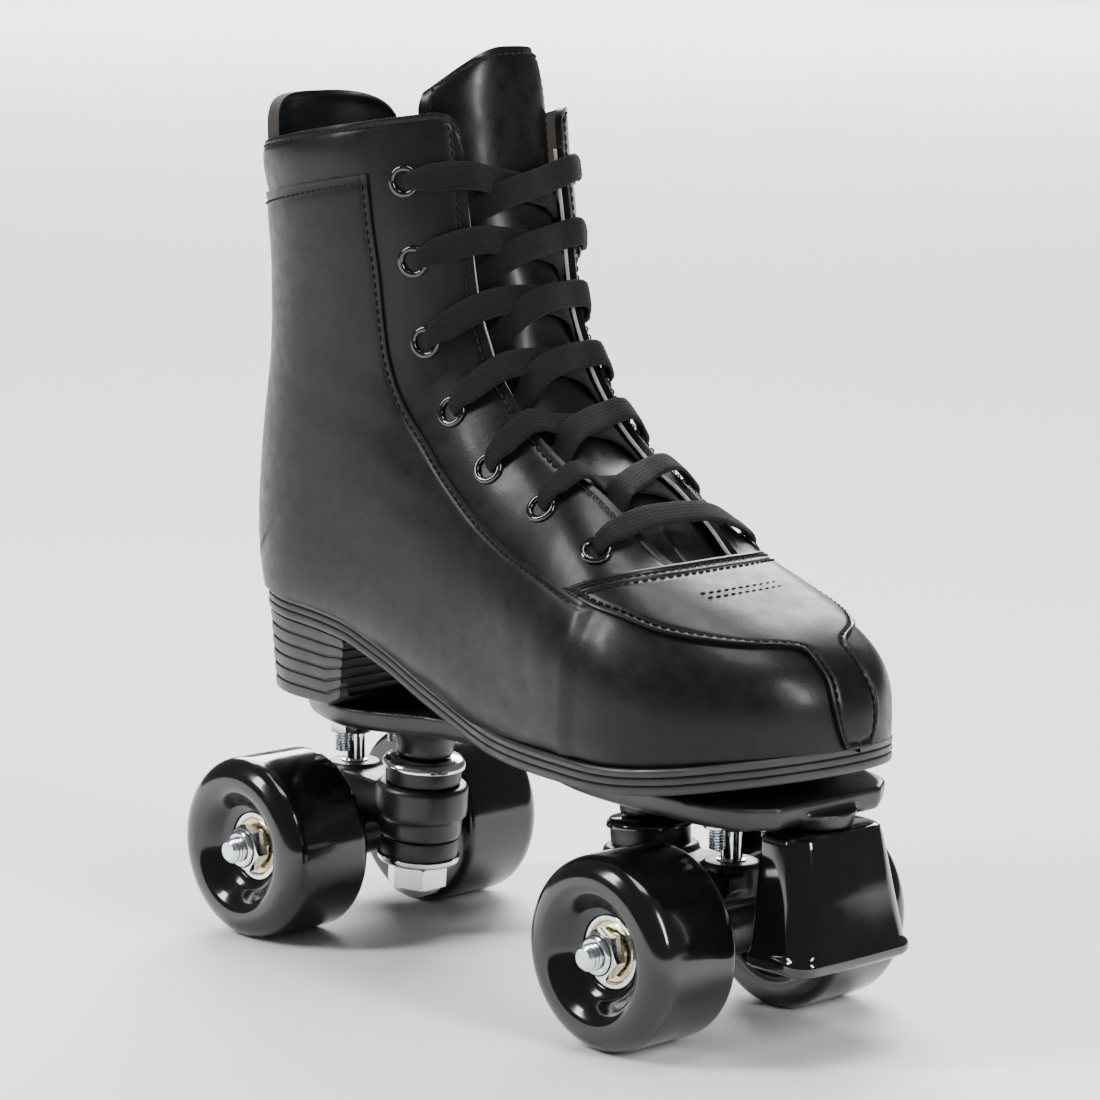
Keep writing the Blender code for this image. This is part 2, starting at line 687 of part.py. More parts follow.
def make_bottom():
    """Outsole, insole and stacked heel."""
    slab("outsole", sole_stations(HEEL_BACK_X + 0.4, TOE_X - 0.3, 34), 0.0, sole_top,
         lambda x: sole_top(x) - SOLE_THICK, RUBBER)
    slab("insole", sole_stations(HEEL_BACK_X + 9.0, TOE_X - 10.0), INSOLE_INSET,
         lambda x: sole_top(x) + INSOLE_TOP,
         lambda x: sole_top(x) + GAP, LINING)
    chamfer_run = HEEL_BREAST_X - HEEL_CHAMFER_X
    heel_stations = [x for x in sole_stations(HEEL_BACK_X + 0.4, -20.0, 26) if x < HEEL_BREAST_X - 2]
    slab("heel", heel_stations + [-57.0, HEEL_BREAST_X], 0.5, lambda x: sole_top(x) - SOLE_THICK - 2 * GAP,
         lambda x: HEEL_BOTTOM_Z + max(0.0, (x - HEEL_CHAMFER_X) / chamfer_run * HEEL_CHAMFER_RISE), RUBBER,
         inset_low=2.4)


# ---------------------------------------------------------------- lace
def lace_key(u, angle, side, height, across, width, thick):
    """Key point of the lace's route: its place, its flat side's direction and its section."""
    return (lifted(u, angle, side, height), across, width, thick)


def lace_route():
    """Key points from one hidden end, down the rows, across the lowest bar and back up."""
    return strand(1)[::-1] + strand(-1)


def along_boot(u, angle, side):
    return (boot_point(u + 0.2, angle, side) - boot_point(u - 0.2, angle, side)).normalized()


TOP_H, LOW_H, HIGH_H, UNDER_H = 1.75, -5.6, -3.9, -5.6


def strand(start_side):
    """Half of the lace: from the middle of the lowest bar up to the top eyelet of its side."""
    keys = []
    side = start_side
    n = len(EYELET_U) - 1
    u, angle = eyelet_centre(n, side)
    edge = flap_angle(u, side)
    keys.append(lace_key(u, 0.0, side, TOP_H - 0.4, along_boot(u, 0.0, side), LACE_WIDTH, LACE_THICK))
    keys.append(lace_key(u, edge, side, TOP_H, along_boot(u, edge, side), LACE_WIDTH, LACE_THICK))
    while n >= 0:
        keys += dive(n, side, up=n > 0)
        if n == 0:
            break
        u0, u1 = eyelet_centre(n, side)[0], eyelet_centre(n - 1, side)[0]
        leave = u0 + (u1 - u0) * 0.40
        edge = flap_angle(leave, side)
        way = along_boot(leave, edge, side)
        keys.append(lace_key(leave, edge + 7.0, side, UNDER_H, way, LACE_UNDER_WIDTH, LACE_THICK))
        keys.append(lace_key(leave + 0.04 * (u1 - u0), edge - 3.0, side, LOW_H, way, 6.6, LACE_THICK))
        height = HIGH_H if side < 0 else LOW_H
        for share, at in ((0.5, 0.59), (0.0, 0.71), (-0.5, 0.84)):
            u = u0 + (u1 - u0) * at
            keys.append(lace_key(u, abs(share) * edge, side if share > 0 else -side, height,
                                 along_boot(u, 0.0, side), LACE_WIDTH, LACE_THICK))
        side = -side
        n -= 1
        edge = flap_angle(u1, side)
        far = u1 + (u0 - u1) * 0.03
        keys.append(lace_key(far, edge - 1.0, side, TOP_H - 0.2, along_boot(u1, edge, side), LACE_WIDTH,
                             LACE_THICK))
    return keys


def dive(n, side, up):
    """Over the flap to an eyelet, down through it and away under the flap."""
    u, angle = eyelet_centre(n, side)
    step = 1.0 / (boot_point(u, angle + 0.5, side) - boot_point(u, angle - 0.5, side)).length
    along = along_boot(u, angle, side)
    normal = boot_normal(u, angle, side)
    centre = boot_point(u, angle, side)
    outward = (boot_point(u, angle - 4.0, side) - centre).normalized()
    keys = [lace_key(u, angle - 7.5 * step, side, TOP_H, along, LACE_WIDTH, LACE_THICK)]
    keys.append((centre + outward * 3.6 + normal * (TOP_H + 0.3), along, 5.0, LACE_THICK))
    keys.append((centre + outward * 1.0 + normal * 1.9, along, 3.0, 1.3))
    keys.append((centre + normal * -0.6, along, LACE_EYELET_WIDTH, 1.5))
    keys.append((centre + normal * -3.6, along, LACE_EYELET_WIDTH, 1.5))
    turn = -1.0 if up else 1.0
    keys.append((centre + along * (-0.9 * turn) + normal * -5.6, along, LACE_EYELET_WIDTH, 1.4))
    if up:
        keys.append((centre + along * 3.2 + outward * 1.6 + normal * -5.8, outward * -1, 4.6, LACE_THICK))
    else:
        keys.append((centre - along * 3.6 + normal * -5.8, outward * -1, 4.6, LACE_THICK))
        keys.append((centre - along * 9.0 + normal * -5.8, outward * -1, 5.6, LACE_THICK))
    return keys


def make_lace():
    """Flat lace swept along its route as one strip."""
    keys = lace_route()
    places = [k[0] for k in keys]
    points, faces = [], []
    samples = [(i, 0.0) for i in range(len(keys) - 1)] + [(len(keys) - 2, 1.0)]
    for i, t in samples:
        before, beyond = places[max(0, i - 1)], places[min(len(places) - 1, i + 2)]
        a, b = places[i], places[i + 1]
        slope_a, slope_b = (b - before) / 2, (beyond - a) / 2
        here = hermite(a, b, slope_a, slope_b, t)
        ahead = hermite(a, b, slope_a, slope_b, t + 0.01) - hermite(a, b, slope_a, slope_b, t - 0.01)
        forward = ahead.normalized()
        across = keys[i][1].lerp(keys[i + 1][1], t)
        across = (across - forward * across.dot(forward)).normalized()
        up = forward.cross(across)
        half_w = (keys[i][2] + (keys[i + 1][2] - keys[i][2]) * t) / 2
        half_t = (keys[i][3] + (keys[i + 1][3] - keys[i][3]) * t) / 2
        for w, h in ((1, 1), (-1, 1), (-1, -1), (1, -1)):
            points.append(here + across * half_w * w + up * half_t * h)
    for k in range(len(samples) - 1):
        a, b = 4 * k, 4 * k + 4
        for q in range(4):
            r = (q + 1) % 4
            faces.append((a + q, a + r, b + r, b + q))
    last = 4 * (len(samples) - 1)
    faces += [(0, 1, 2, 3), (last, last + 1, last + 2, last + 3)]
    add_object("lace", mesh_from("lace", points, faces), WOVEN)


# ---------------------------------------------------------------- plate, stop and bolts
def plate_half_width(x):
    """Half width of the baseplate: a wide pad at each end and a narrow bridge."""
    return smooth_table(PLATE_HALF_WIDTH, x)


def make_plate():
    stations = sole_stations(PLATE_BACK_X, PLATE_FRONT_X, 24)
    outline = [(x, plate_half_width(x)) for x in stations]
    outline += [(x, -y) for x, y in reversed(outline)]
    bottom = PLATE_TOP - PLATE_THICK
    plate = prism("baseplate", outline, bottom, PLATE_TOP, (0, 0, 0), (0, 0, 1), PLASTIC)
    adds = []
    cuts = []
    for out in (1, -1):
        lean = kingpin_axis(out)
        centre = kingpin_place(out)
        adds.append(turned("kingpin_boss", rod_profile(9.2, UPPER_WASHER[1] + GAP, 30.0, 0.8), centre, lean,
                           PLASTIC, steps=16, cutter=True))
        adds.append(turned("pivot_boss", rod_profile(6.9, 60.0, 71.0, 0.8), (out * PIVOT_X, 0, 0), (0, 0, 1),
                           PLASTIC, steps=16, cutter=True))
        cuts.append(turned("kingpin_hole", rod_profile(KINGPIN_R + GAP, 12.0, KINGPIN_TOP + GAP, 0.1), centre,
                           lean, PLASTIC, steps=16, cutter=True))
        cuts.append(turned("cup_hole", rod_profile(5.5, 52.0, 67.8, 0.1), (out * PIVOT_X, 0, 0), (0, 0, 1),
                           PLASTIC, steps=16, cutter=True))
        for side in (1, -1):
            cuts.append(turned("bolt_hole", rod_profile(BOLT_R + GAP, 50.0, 90.0, 0.1),
                               (BOLT_X[out], side * BOLT_Y, 0), (0, 0, 1), PLASTIC, steps=12, cutter=True))
    adds.append(turned("stop_boss", rod_profile(10.5, STOP_TOP_Z + GAP, 71.0, 0.8), (STOP_STEM_X, 0, 0),
                       (0, 0, 1), PLASTIC, steps=16, cutter=True))
    cuts.append(turned("stem_hole", rod_profile(STEM_R + GAP, 40.0, 74.3, 0.1), (STOP_STEM_X, 0, 0),
                       (0, 0, 1), PLASTIC, steps=16, cutter=True))
    boolean(plate, joined("plate_bosses", adds), "UNION")
    boolean(plate, joined("plate_holes", cuts), "DIFFERENCE")


def make_stop():
    """Rubber block that tapers upwards, with a bead round its lower edge, and its stem."""
    levels = [(STOP_BOTTOM_Z, 137.6, 22.8), (29.6, STOP_RIM_X, 24.0), (32.2, STOP_RIM_X, 24.0),
              (33.6, 138.4, 23.4), (63.5, 132.6, 19.0), (STOP_TOP_Z, 131.0, 17.4)]
    points, faces = [], []
    per = 0
    for z, front, half in levels:
        ring = [(STOP_BACK_X, half - 1.5), (STOP_BACK_X + 1.5, half)]
        ring += [(front - 6.0 + 6.0 * math.sin(math.radians(a)), half - 6.0 + 6.0 * math.cos(math.radians(a)))
                 for a in (0, 22.5, 45, 67.5, 90)]
        ring += [(x, -y) for x, y in reversed(ring)]
        per = len(ring)
        points += [(x, y, z) for x, y in ring]
    for k in range(len(levels) - 1):
        for i in range(per):
            j = (i + 1) % per
            faces.append((k * per + i, k * per + j, (k + 1) * per + j, (k + 1) * per + i))
    top = (len(levels) - 1) * per
    faces += [tuple(range(per)), tuple(range(top, top + per))]
    stop = add_object("toe_stop", mesh_from("toe_stop", points, faces), GLOSS)
    place = (STOP_STEM_X, 0, 0)
    bore = turned("stop_bore", rod_profile(STEM_R + GAP, 44.0, 80.0, 0.1), place, (0, 0, 1), GLOSS, steps=20,
                  cutter=True)
    boolean(stop, bore, "DIFFERENCE")
    turned("toe_stop_stem", rod_profile(STEM_R, 44.4, 74.0, 0.8), place, (0, 0, 1), STEEL, steps=12)


def make_sole_bolts():
    """Bolts with sunk heads under the insole, through sole and plate, and the nuts under the plate."""
    under = PLATE_TOP - PLATE_THICK
    cuts = []
    for out, end in ((1, "front"), (-1, "rear")):
        top = sole_top(BOLT_X[out])
        for side, label in ((1, "left"), (-1, "right")):
            place = (BOLT_X[out], side * BOLT_Y, 0)
            name = "%s_%s" % (end, label)
            bolt = [(0.0, top - 0.6), (4.6, top - 0.6), (4.6, top - 3.0), (BOLT_R, top - 3.0),
                    (BOLT_R, under - 12.6), (BOLT_R - 0.6, under - 13.2), (0.0, under - 13.2)]
            turned("plate_bolt_" + name, bolt, place, (0, 0, 1), STEEL, steps=12)
            prism("plate_nut_" + name, polygon(8.0), under - GAP - 6.2, under - GAP, place, (0, 0, 1), STEEL,
                  bore=BOLT_R + GAP)
            hole = [(0.0, top + 2.0), (5.0, top + 2.0), (5.0, top - 3.4), (BOLT_R + GAP, top - 3.4),
                    (BOLT_R + GAP, 70.0), (0.0, 70.0)]
            cuts.append(turned("sole_hole", hole, place, (0, 0, 1), STEEL, steps=12, cutter=True))
    holes = joined("sole_holes", cuts)
    for name in ("outsole", "heel"):
        boolean(bpy.data.objects[name], holes, "DIFFERENCE")


# ---------------------------------------------------------------- trucks and wheels
def kingpin_axis(out):
    """Upward direction of a kingpin; its lower end leans towards the axle."""
    return Vector((-out * math.sin(KINGPIN_LEAN), 0, math.cos(KINGPIN_LEAN)))


def kingpin_place(out):
    return Vector((out * KINGPIN_X, 0, RING_MID_Z))


def pivot_place(out):
    return Vector((out * PIVOT_X, 0, PIVOT_Z))


def make_kingpin(out, end):
    """Kingpin with its nut, cup washers and cushions, and the cup that holds the pivot."""
    place, lean = kingpin_place(out), kingpin_axis(out)
    turned("kingpin_" + end, rod_profile(KINGPIN_R, KINGPIN_TIP, KINGPIN_TOP, 0.8), place, lean, STEEL,
           steps=20)
    for name, (low, high), radius, finish in (
            ("upper_cushion_", UPPER_CUSHION, CUSHION_R - 0.3, RUBBER),
            ("lower_cushion_", LOWER_CUSHION, CUSHION_R, RUBBER),
            ("upper_washer_", UPPER_WASHER, CUSHION_R + 0.6, STEEL),
            ("lower_washer_", LOWER_WASHER, CUSHION_R + 0.4, STEEL)):
        turned(name + end, ring_profile(KINGPIN_R + GAP, radius, low, high, 0.3), place, lean, finish,
               steps=20)
    prism("kingpin_nut_" + end, polygon(KINGPIN_NUT_FLATS), *KINGPIN_NUT, place, lean, STEEL,
          bore=KINGPIN_R + GAP)
    cup = [(0.0, 67.4), (5.2, 67.4), (5.2, 59.4), (PIVOT_PIN_R + 0.7, 59.4), (PIVOT_PIN_R + 0.7, 65.6),
           (0.0, 65.6)]
    turned("pivot_cup_" + end, cup, (out * PIVOT_X, 0, 0), (0, 0, 1), RUBBER, steps=20)


def arm_outline(out):
    """Side outline of the hanger's arm, from the ring out to the pivot boss."""
    shape = [(KINGPIN_X + 9.0, 33.6), (KINGPIN_X + 9.0, 48.0), (76.0, 48.6), (94.0, 47.6), (95.0, 44.0),
             (88.0, 36.0), (84.0, 21.5), (77.0, 21.5), (74.0, 28.0), (68.0, 33.0)]
    return [(out * x, z) for x, z in shape]


def make_truck(out, end):
    """Hanger with its ring, axle, pivot pin and axle nuts; all of it steers about the pivot axis."""
    marker = empty("truck_%s_steer" % end, pivot_place(out), FRAME)
    joint = (marker, pivot_place(out))
    axle_place = (out * WHEELBASE / 2, 0, AXLE_Z)
    beam = [(0.0, 22.0), (6.4, 22.0), (6.4, 19.8), (8.0, 19.0), (9.6, 10.0), (9.6, -10.0), (8.0, -19.0),
            (6.4, -19.8), (6.4, -22.0), (0.0, -22.0)]
    hanger = turned("hanger_" + end, beam, axle_place, (0, 1, 0), PLASTIC, joint, steps=16)
    arm = prism("arm_" + end, [(x, -z) for x, z in arm_outline(out)], -9.5, 9.5, (0, 0, 0), (0, 1, 0),
                PLASTIC, cutter=True)
    bevel(arm, 2.0, 1, 30.0)
    ring = turned("ring_" + end, rod_profile(RING_R, -RING_HEIGHT / 2, RING_HEIGHT / 2, 1.4),
                  kingpin_place(out), kingpin_axis(out), PLASTIC, steps=24, cutter=True)
    boss = turned("boss_" + end, rod_profile(9.0, 40.0, PIVOT_BOSS_TOP, 1.0), (out * PIVOT_X, 0, 0),
                  (0, 0, 1), PLASTIC, steps=16, cutter=True)
    for tool in (arm, ring, boss):
        boolean(hanger, tool, "UNION")
    cuts = [turned("ring_hole", rod_profile(KINGPIN_R + 2.2, -12.0, 12.0, 0.1), kingpin_place(out),
                   kingpin_axis(out), PLASTIC, steps=16, cutter=True),
            turned("axle_hole", rod_profile(4.0 + GAP, -26.0, 26.0, 0.1), axle_place, (0, 1, 0), PLASTIC,
                   steps=16, cutter=True),
            turned("pin_hole", rod_profile(PIVOT_PIN_R + GAP, 42.0, 56.0, 0.1), (out * PIVOT_X, 0, 0),
                   (0, 0, 1), PLASTIC, steps=16, cutter=True)]
    boolean(hanger, joined("hanger_holes_" + end, cuts), "DIFFERENCE")
    turned("pivot_pin_" + end, rod_profile(PIVOT_PIN_R, 42.4, 65.0, 1.2), (out * PIVOT_X, 0, 0), (0, 0, 1),
           STEEL, joint, steps=16)
    turned("axle_" + end, rod_profile(4.0, -AXLE_TIP_Y, AXLE_TIP_Y, 0.6), axle_place, (0, 1, 0), STEEL, joint,
           steps=16)
    for side, label in ((1, "left"), (-1, "right")):
        low, high = sorted((side * AXLE_NUT_Y[0], side * AXLE_NUT_Y[1]))
        prism("axle_nut_%s_%s" % (end, label), polygon(AXLE_NUT_FLATS), low, high, axle_place, (0, 1, 0),
              STEEL, joint, bore=4.0 + GAP)
        make_wheel(out, end, side, label, joint)


def wheel_profile():
    """Section of a wheel, from its hub outwards; height runs from the inner to the outer face."""
    seat, hub, half = BEARING_R + GAP, 9.6, WHEEL_WIDTH / 2
    outer_seat = BEARING_FACE_Y - BEARING_WIDTH - WHEEL_MID_Y - GAP
    inner_seat = -half + 1.0 + BEARING_WIDTH + GAP
    shoulder = [(WHEEL_R - 7.0 + 7.0 * math.sin(a), half - 7.0 + 7.0 * math.cos(a))
                for a in (0.0, 0.55, 1.1, math.pi / 2)]
    lip = [(seat, 8.2), (12.4, 9.4), (LIP_R - 1.0, 14.6), (20.8, half)]
    inner = [(WHEEL_R, -half + 3.0), (26.6, -half), (seat, -half),
             (seat, inner_seat), (hub, inner_seat), (hub, outer_seat), (seat, outer_seat)]
    return lip + shoulder + inner


def make_wheel(out, end, side, label, truck):
    """Wheel with its two bearings, turning freely on the axle."""
    name = "%s_%s" % (end, label)
    place = Vector((out * WHEELBASE / 2, side * WHEEL_MID_Y, AXLE_Z))
    marker = empty("wheel_%s_spin" % name, place, truck[0], truck[1])
    joint = (marker, place)
    turned("wheel_" + name, wheel_profile(), place, (0, side, 0), GLOSS, joint, steps=24)
    outer = BEARING_FACE_Y - WHEEL_MID_Y
    inner = -WHEEL_WIDTH / 2 + 1.0 + BEARING_WIDTH
    for kind, high in (("outer", outer), ("inner", inner)):
        turned("bearing_%s_%s" % (kind, name),
               tube_profile(BEARING_BORE_R + GAP, BEARING_R, high - BEARING_WIDTH, high), place, (0, side, 0),
               STEEL, joint, steps=20)


def build():
    """Make every piece of the skate."""
    make_upper()
    make_tongue()
    make_back_tab()
    for side, label in ((1, "left"), (-1, "right")):
        make_eyelet_row(side, label)
    make_lace()
    make_bottom()
    make_plate()
    make_stop()
    make_sole_bolts()
    for out, end in ((1, "front"), (-1, "rear")):
        make_kingpin(out, end)
        make_truck(out, end)


build()
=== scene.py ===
"""Quad roller skate: the finished look of the boot, plate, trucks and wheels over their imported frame.

Shapes are drawn in millimetres in the boot maker's frame: x = 0 midway between the axles, +X towards the
toe, +Y towards the wearer's left, +Z up from the floor.  `Workshop.world` turns them into the frame's metres.
"""
import logging
import math
from dataclasses import dataclass, field
from enum import Enum

import bmesh
import bpy
import numpy as np
from mathutils import Matrix, Vector, noise


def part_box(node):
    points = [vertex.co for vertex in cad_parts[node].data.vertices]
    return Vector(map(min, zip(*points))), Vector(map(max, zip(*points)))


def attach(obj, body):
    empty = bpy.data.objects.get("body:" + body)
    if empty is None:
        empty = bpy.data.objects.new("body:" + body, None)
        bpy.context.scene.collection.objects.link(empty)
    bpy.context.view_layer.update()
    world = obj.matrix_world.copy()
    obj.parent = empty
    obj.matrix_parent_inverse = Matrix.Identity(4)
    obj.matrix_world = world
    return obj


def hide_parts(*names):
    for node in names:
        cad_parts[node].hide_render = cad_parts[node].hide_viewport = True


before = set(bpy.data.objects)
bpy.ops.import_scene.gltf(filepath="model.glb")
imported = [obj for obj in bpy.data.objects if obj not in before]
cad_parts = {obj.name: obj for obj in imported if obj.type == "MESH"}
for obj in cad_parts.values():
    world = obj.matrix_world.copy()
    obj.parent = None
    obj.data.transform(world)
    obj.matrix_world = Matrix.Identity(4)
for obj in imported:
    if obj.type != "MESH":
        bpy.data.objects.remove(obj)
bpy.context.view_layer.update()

log = logging.getLogger("roller_skate")

MM = 0.001
ROOT_BODY = "boot_and_plate"
Array = np.ndarray


def box_middle(node: str) -> Vector:
    """Middle of a frame node's box, in metres."""
    low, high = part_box(node)
    return (low + high) / 2


AXLE_MIDDLE_X = (box_middle("axle_front").x + box_middle("axle_rear").x) / 2
WHEELBASE = (box_middle("axle_front").x - box_middle("axle_rear").x) / MM
AXLE_Z = box_middle("axle_front").z / MM


class Side(Enum):
    """Side of the boot, as the sign of its y."""

    LEFT = 1
    RIGHT = -1

    @property
    def label(self) -> str:
        """Name used in node and piece names."""
        return self.name.lower()


class End(Enum):
    """End of the skate, as the sign of its x."""

    FRONT = 1
    REAR = -1

    @property
    def label(self) -> str:
        """Name used in node and piece names."""
        return self.name.lower()


class Paint(Enum):
    """Which material slot of a shell a face takes."""

    OUTSIDE = 0
    INSIDE = 1
    EDGE = 2


# ------------------------------------------------------------------------------------------- finishes
class NodeKit:
    """Small helper that wires shader nodes of one material."""

    def __init__(self, name: str) -> None:
        """Start a material with its Principled shader."""
        self.material = bpy.data.materials.new(name)
        self.material.use_nodes = True
        self.tree = self.material.node_tree
        self.shader = self.tree.nodes["Principled BSDF"]

    def node(self, kind: str, **values: object) -> bpy.types.Node:
        """Add a node and set its inputs or properties by name."""
        made = self.tree.nodes.new(kind)
        for key, value in values.items():
            socket = key.replace("_", " ").title()
            if hasattr(made, key):
                setattr(made, key, value)
            elif socket in made.inputs:
                made.inputs[socket].default_value = value
        return made

    def link(self, source: bpy.types.NodeSocket, target: bpy.types.NodeSocket) -> None:
        """Join two sockets."""
        self.tree.links.new(source, target)

    def coords(self, output: str = "Object") -> bpy.types.NodeSocket:
        """Texture coordinate socket."""
        return self.node("ShaderNodeTexCoord").outputs[output]

    def noise(self, scale: float, detail: float = 3.0, roughness: float = 0.5) -> bpy.types.NodeSocket:
        """Noise value over the piece, with features about 1/scale metres across."""
        made = self.node("ShaderNodeTexNoise", scale=scale, detail=detail, roughness=roughness)
        self.link(self.coords(), made.inputs["Vector"])
        return made.outputs["Fac"]

    def cells(self, scale: float, feature: str = "F1") -> bpy.types.NodeSocket:
        """Distance value of a cell pattern over the piece."""
        made = self.node("ShaderNodeTexVoronoi", feature=feature)
        made.inputs["Scale"].default_value = scale
        self.link(self.coords(), made.inputs["Vector"])
        return made.outputs["Distance"]

    def remap(self, value: bpy.types.NodeSocket, low: float, high: float, start: float = 0.0,
              stop: float = 1.0) -> bpy.types.NodeSocket:
        """Value moved from start..stop to low..high."""
        made = self.node("ShaderNodeMapRange")
        for key, number in (("From Min", start), ("From Max", stop), ("To Min", low), ("To Max", high)):
            made.inputs[key].default_value = number
        self.link(value, made.inputs["Value"])
        return made.outputs["Result"]

    def blend(self, factor: bpy.types.NodeSocket, first: tuple, second: tuple) -> bpy.types.NodeSocket:
        """Colour between two others."""
        made = self.node("ShaderNodeMix", data_type="RGBA")
        factor_in, first_in, second_in, colour_out = 0, 6, 7, 2
        self.link(factor, made.inputs[factor_in])
        made.inputs[first_in].default_value = (*first, 1.0)
        made.inputs[second_in].default_value = (*second, 1.0)
        return made.outputs[colour_out]

    def math(self, operation: str, first: object, second: object = 0.0) -> bpy.types.NodeSocket:
        """Result of a math node; either input may be a socket or a number."""
        made = self.node("ShaderNodeMath", operation=operation)
        for socket, value in zip(made.inputs, (first, second)):
            if isinstance(value, bpy.types.NodeSocket):
                self.link(value, socket)
            else:
                socket.default_value = value
        return made.outputs["Value"]

    def bump(self, height: bpy.types.NodeSocket, strength: float, distance: float,
             under: bpy.types.NodeSocket | None = None) -> bpy.types.NodeSocket:
        """Normal raised by a height; distance is in metres."""
        made = self.node("ShaderNodeBump")
        made.inputs["Strength"].default_value = strength
        made.inputs["Distance"].default_value = distance
        self.link(height, made.inputs["Height"])
        if under is not None:
            self.link(under, made.inputs["Normal"])
        return made.outputs["Normal"]

    def wear(self, normal: bpy.types.NodeSocket) -> None:
        """Give the shader its normal."""
        self.link(normal, self.shader.inputs["Normal"])

    def fix(self, **values: float) -> None:
        """Constant values straight on the shader's sockets."""
        for key, value in values.items():
            self.shader.inputs[key.replace("_", " ").title().replace("Ior", "IOR")].default_value = value


@dataclass(frozen=True)
class Leather:
    """Coated leather: a fine pebble grain, faint creases and a soft, slightly uneven sheen."""

    name: str = "black_leather"
    color: tuple = (0.0034, 0.0035, 0.0040)
    worn: tuple = (0.0060, 0.0061, 0.0068)
    gloss: float = 0.36
    grain: float = 0.16

    def make(self) -> bpy.types.Material:
        """Build the material."""
        kit = NodeKit(self.name)
        clouds = kit.noise(55.0, 4.0)
        kit.link(kit.blend(kit.remap(clouds, 0.0, 1.0, 0.35, 0.75), self.color, self.worn),
                 kit.shader.inputs["Base Color"])
        kit.link(kit.remap(kit.noise(210.0, 5.0), self.gloss - 0.05, self.gloss + 0.09, 0.3, 0.7),
                 kit.shader.inputs["Roughness"])
        pebble = kit.math("ADD", kit.cells(1500.0), kit.math("MULTIPLY", kit.cells(2700.0), 0.5))
        grain = kit.bump(pebble, self.grain, 0.00012)
        kit.wear(kit.bump(kit.noise(330.0, 3.0), 0.10, 0.0004, grain))
        kit.fix(specular_ior_level=0.2, coat_weight=0.08, coat_roughness=0.18)
        return kit.material


@dataclass(frozen=True)
class Cloth:
    """Brushed lining or raw cut edge."""

    name: str
    color: tuple
    second: tuple
    weave: float = 1400.0

    def make(self) -> bpy.types.Material:
        """Build the material."""
        kit = NodeKit(self.name)
        kit.link(kit.blend(kit.noise(260.0, 5.0), self.color, self.second), kit.shader.inputs["Base Color"])
        kit.link(kit.remap(kit.noise(500.0), 0.78, 0.95), kit.shader.inputs["Roughness"])
        kit.wear(kit.bump(kit.cells(self.weave), 0.35, 0.0003))
        kit.fix(specular_ior_level=0.2)
        return kit.material


@dataclass(frozen=True)
class Braid:
    """Flat braided lace: chevron columns along its length, from the piece's own length and width map."""

    name: str = "black_braid"
    color: tuple = (0.0028, 0.0028, 0.003)
    second: tuple = (0.0105, 0.0102, 0.0102)
    columns: float = 7.0
    pitch: float = 0.0011

    def make(self) -> bpy.types.Material:
        """Build the material."""
        kit = NodeKit(self.name)
        split = kit.node("ShaderNodeSeparateXYZ")
        kit.link(kit.coords("UV"), split.inputs["Vector"])
        along = kit.math("DIVIDE", split.outputs["X"], self.pitch)
        across = kit.math("MULTIPLY", split.outputs["Y"], self.columns)
        zigzag = kit.math("PINGPONG", across, 0.5)
        phase = kit.math("ADD", along, kit.math("MULTIPLY", zigzag, 2.0))
        yarn = kit.math("ABSOLUTE", kit.math("SINE", kit.math("MULTIPLY", phase, math.pi)))
        column = kit.math("ABSOLUTE", kit.math("SINE", kit.math("MULTIPLY", across, math.tau)))
        height = kit.math("ADD", yarn, kit.math("MULTIPLY", column, 0.55))
        fuzz = kit.noise(2600.0, 2.0)
        # Painted shade: the base colour follows the weave's height, darker in the grooves between the yarns
        # and lighter on their crowns.
        kit.link(kit.blend(kit.math("MULTIPLY", kit.math("MULTIPLY", height, fuzz), 1.1), self.color,
                           self.second), kit.shader.inputs["Base Color"])
        kit.link(kit.remap(fuzz, 0.72, 0.95), kit.shader.inputs["Roughness"])
        kit.wear(kit.bump(height, 0.85, 0.00028, kit.bump(fuzz, 0.3, 0.0002)))
        kit.fix(specular_ior_level=0.16, sheen_weight=0.03, sheen_roughness=0.5)
        return kit.material


@dataclass(frozen=True)
class Moulded:
    """Moulded rubber, plastic or urethane, with its own gloss and a faint flow texture."""

    name: str
    color: tuple
    gloss: float
    spread: float = 0.06
    texture: float = 0.05
    coat: float = 0.0
    specular: float = 0.5

    def make(self) -> bpy.types.Material:
        """Build the material."""
        kit = NodeKit(self.name)
        lighter = tuple(1.5 * part + 0.0015 for part in self.color)
        dust = kit.remap(kit.noise(90.0, 6.0, 0.6), 0.0, 1.0, 0.45, 0.8)
        kit.link(kit.blend(dust, self.color, lighter), kit.shader.inputs["Base Color"])
        kit.link(kit.remap(kit.noise(140.0, 4.0), max(0.02, self.gloss - self.spread),
                           self.gloss + self.spread, 0.3, 0.7), kit.shader.inputs["Roughness"])
        kit.wear(kit.bump(kit.noise(700.0, 3.0), self.texture, 0.0002))
        kit.fix(specular_ior_level=self.specular, coat_weight=self.coat, coat_roughness=0.06)
        return kit.material


@dataclass(frozen=True)
class Metal:
    """Plated steel with fine turning marks and slight tarnish."""

    name: str
    color: tuple
    second: tuple
    gloss: float = 0.16
    marks: float = 0.06

    def make(self) -> bpy.types.Material:
        """Build the material."""
        kit = NodeKit(self.name)
        kit.link(kit.blend(kit.noise(420.0, 4.0), self.color, self.second), kit.shader.inputs["Base Color"])
        kit.link(kit.remap(kit.noise(900.0, 4.0), self.gloss - 0.05, self.gloss + 0.12, 0.3, 0.7),
                 kit.shader.inputs["Roughness"])
        kit.wear(kit.bump(kit.noise(1800.0, 2.0), self.marks, 0.0001))
        kit.fix(metallic=1.0)
        return kit.material


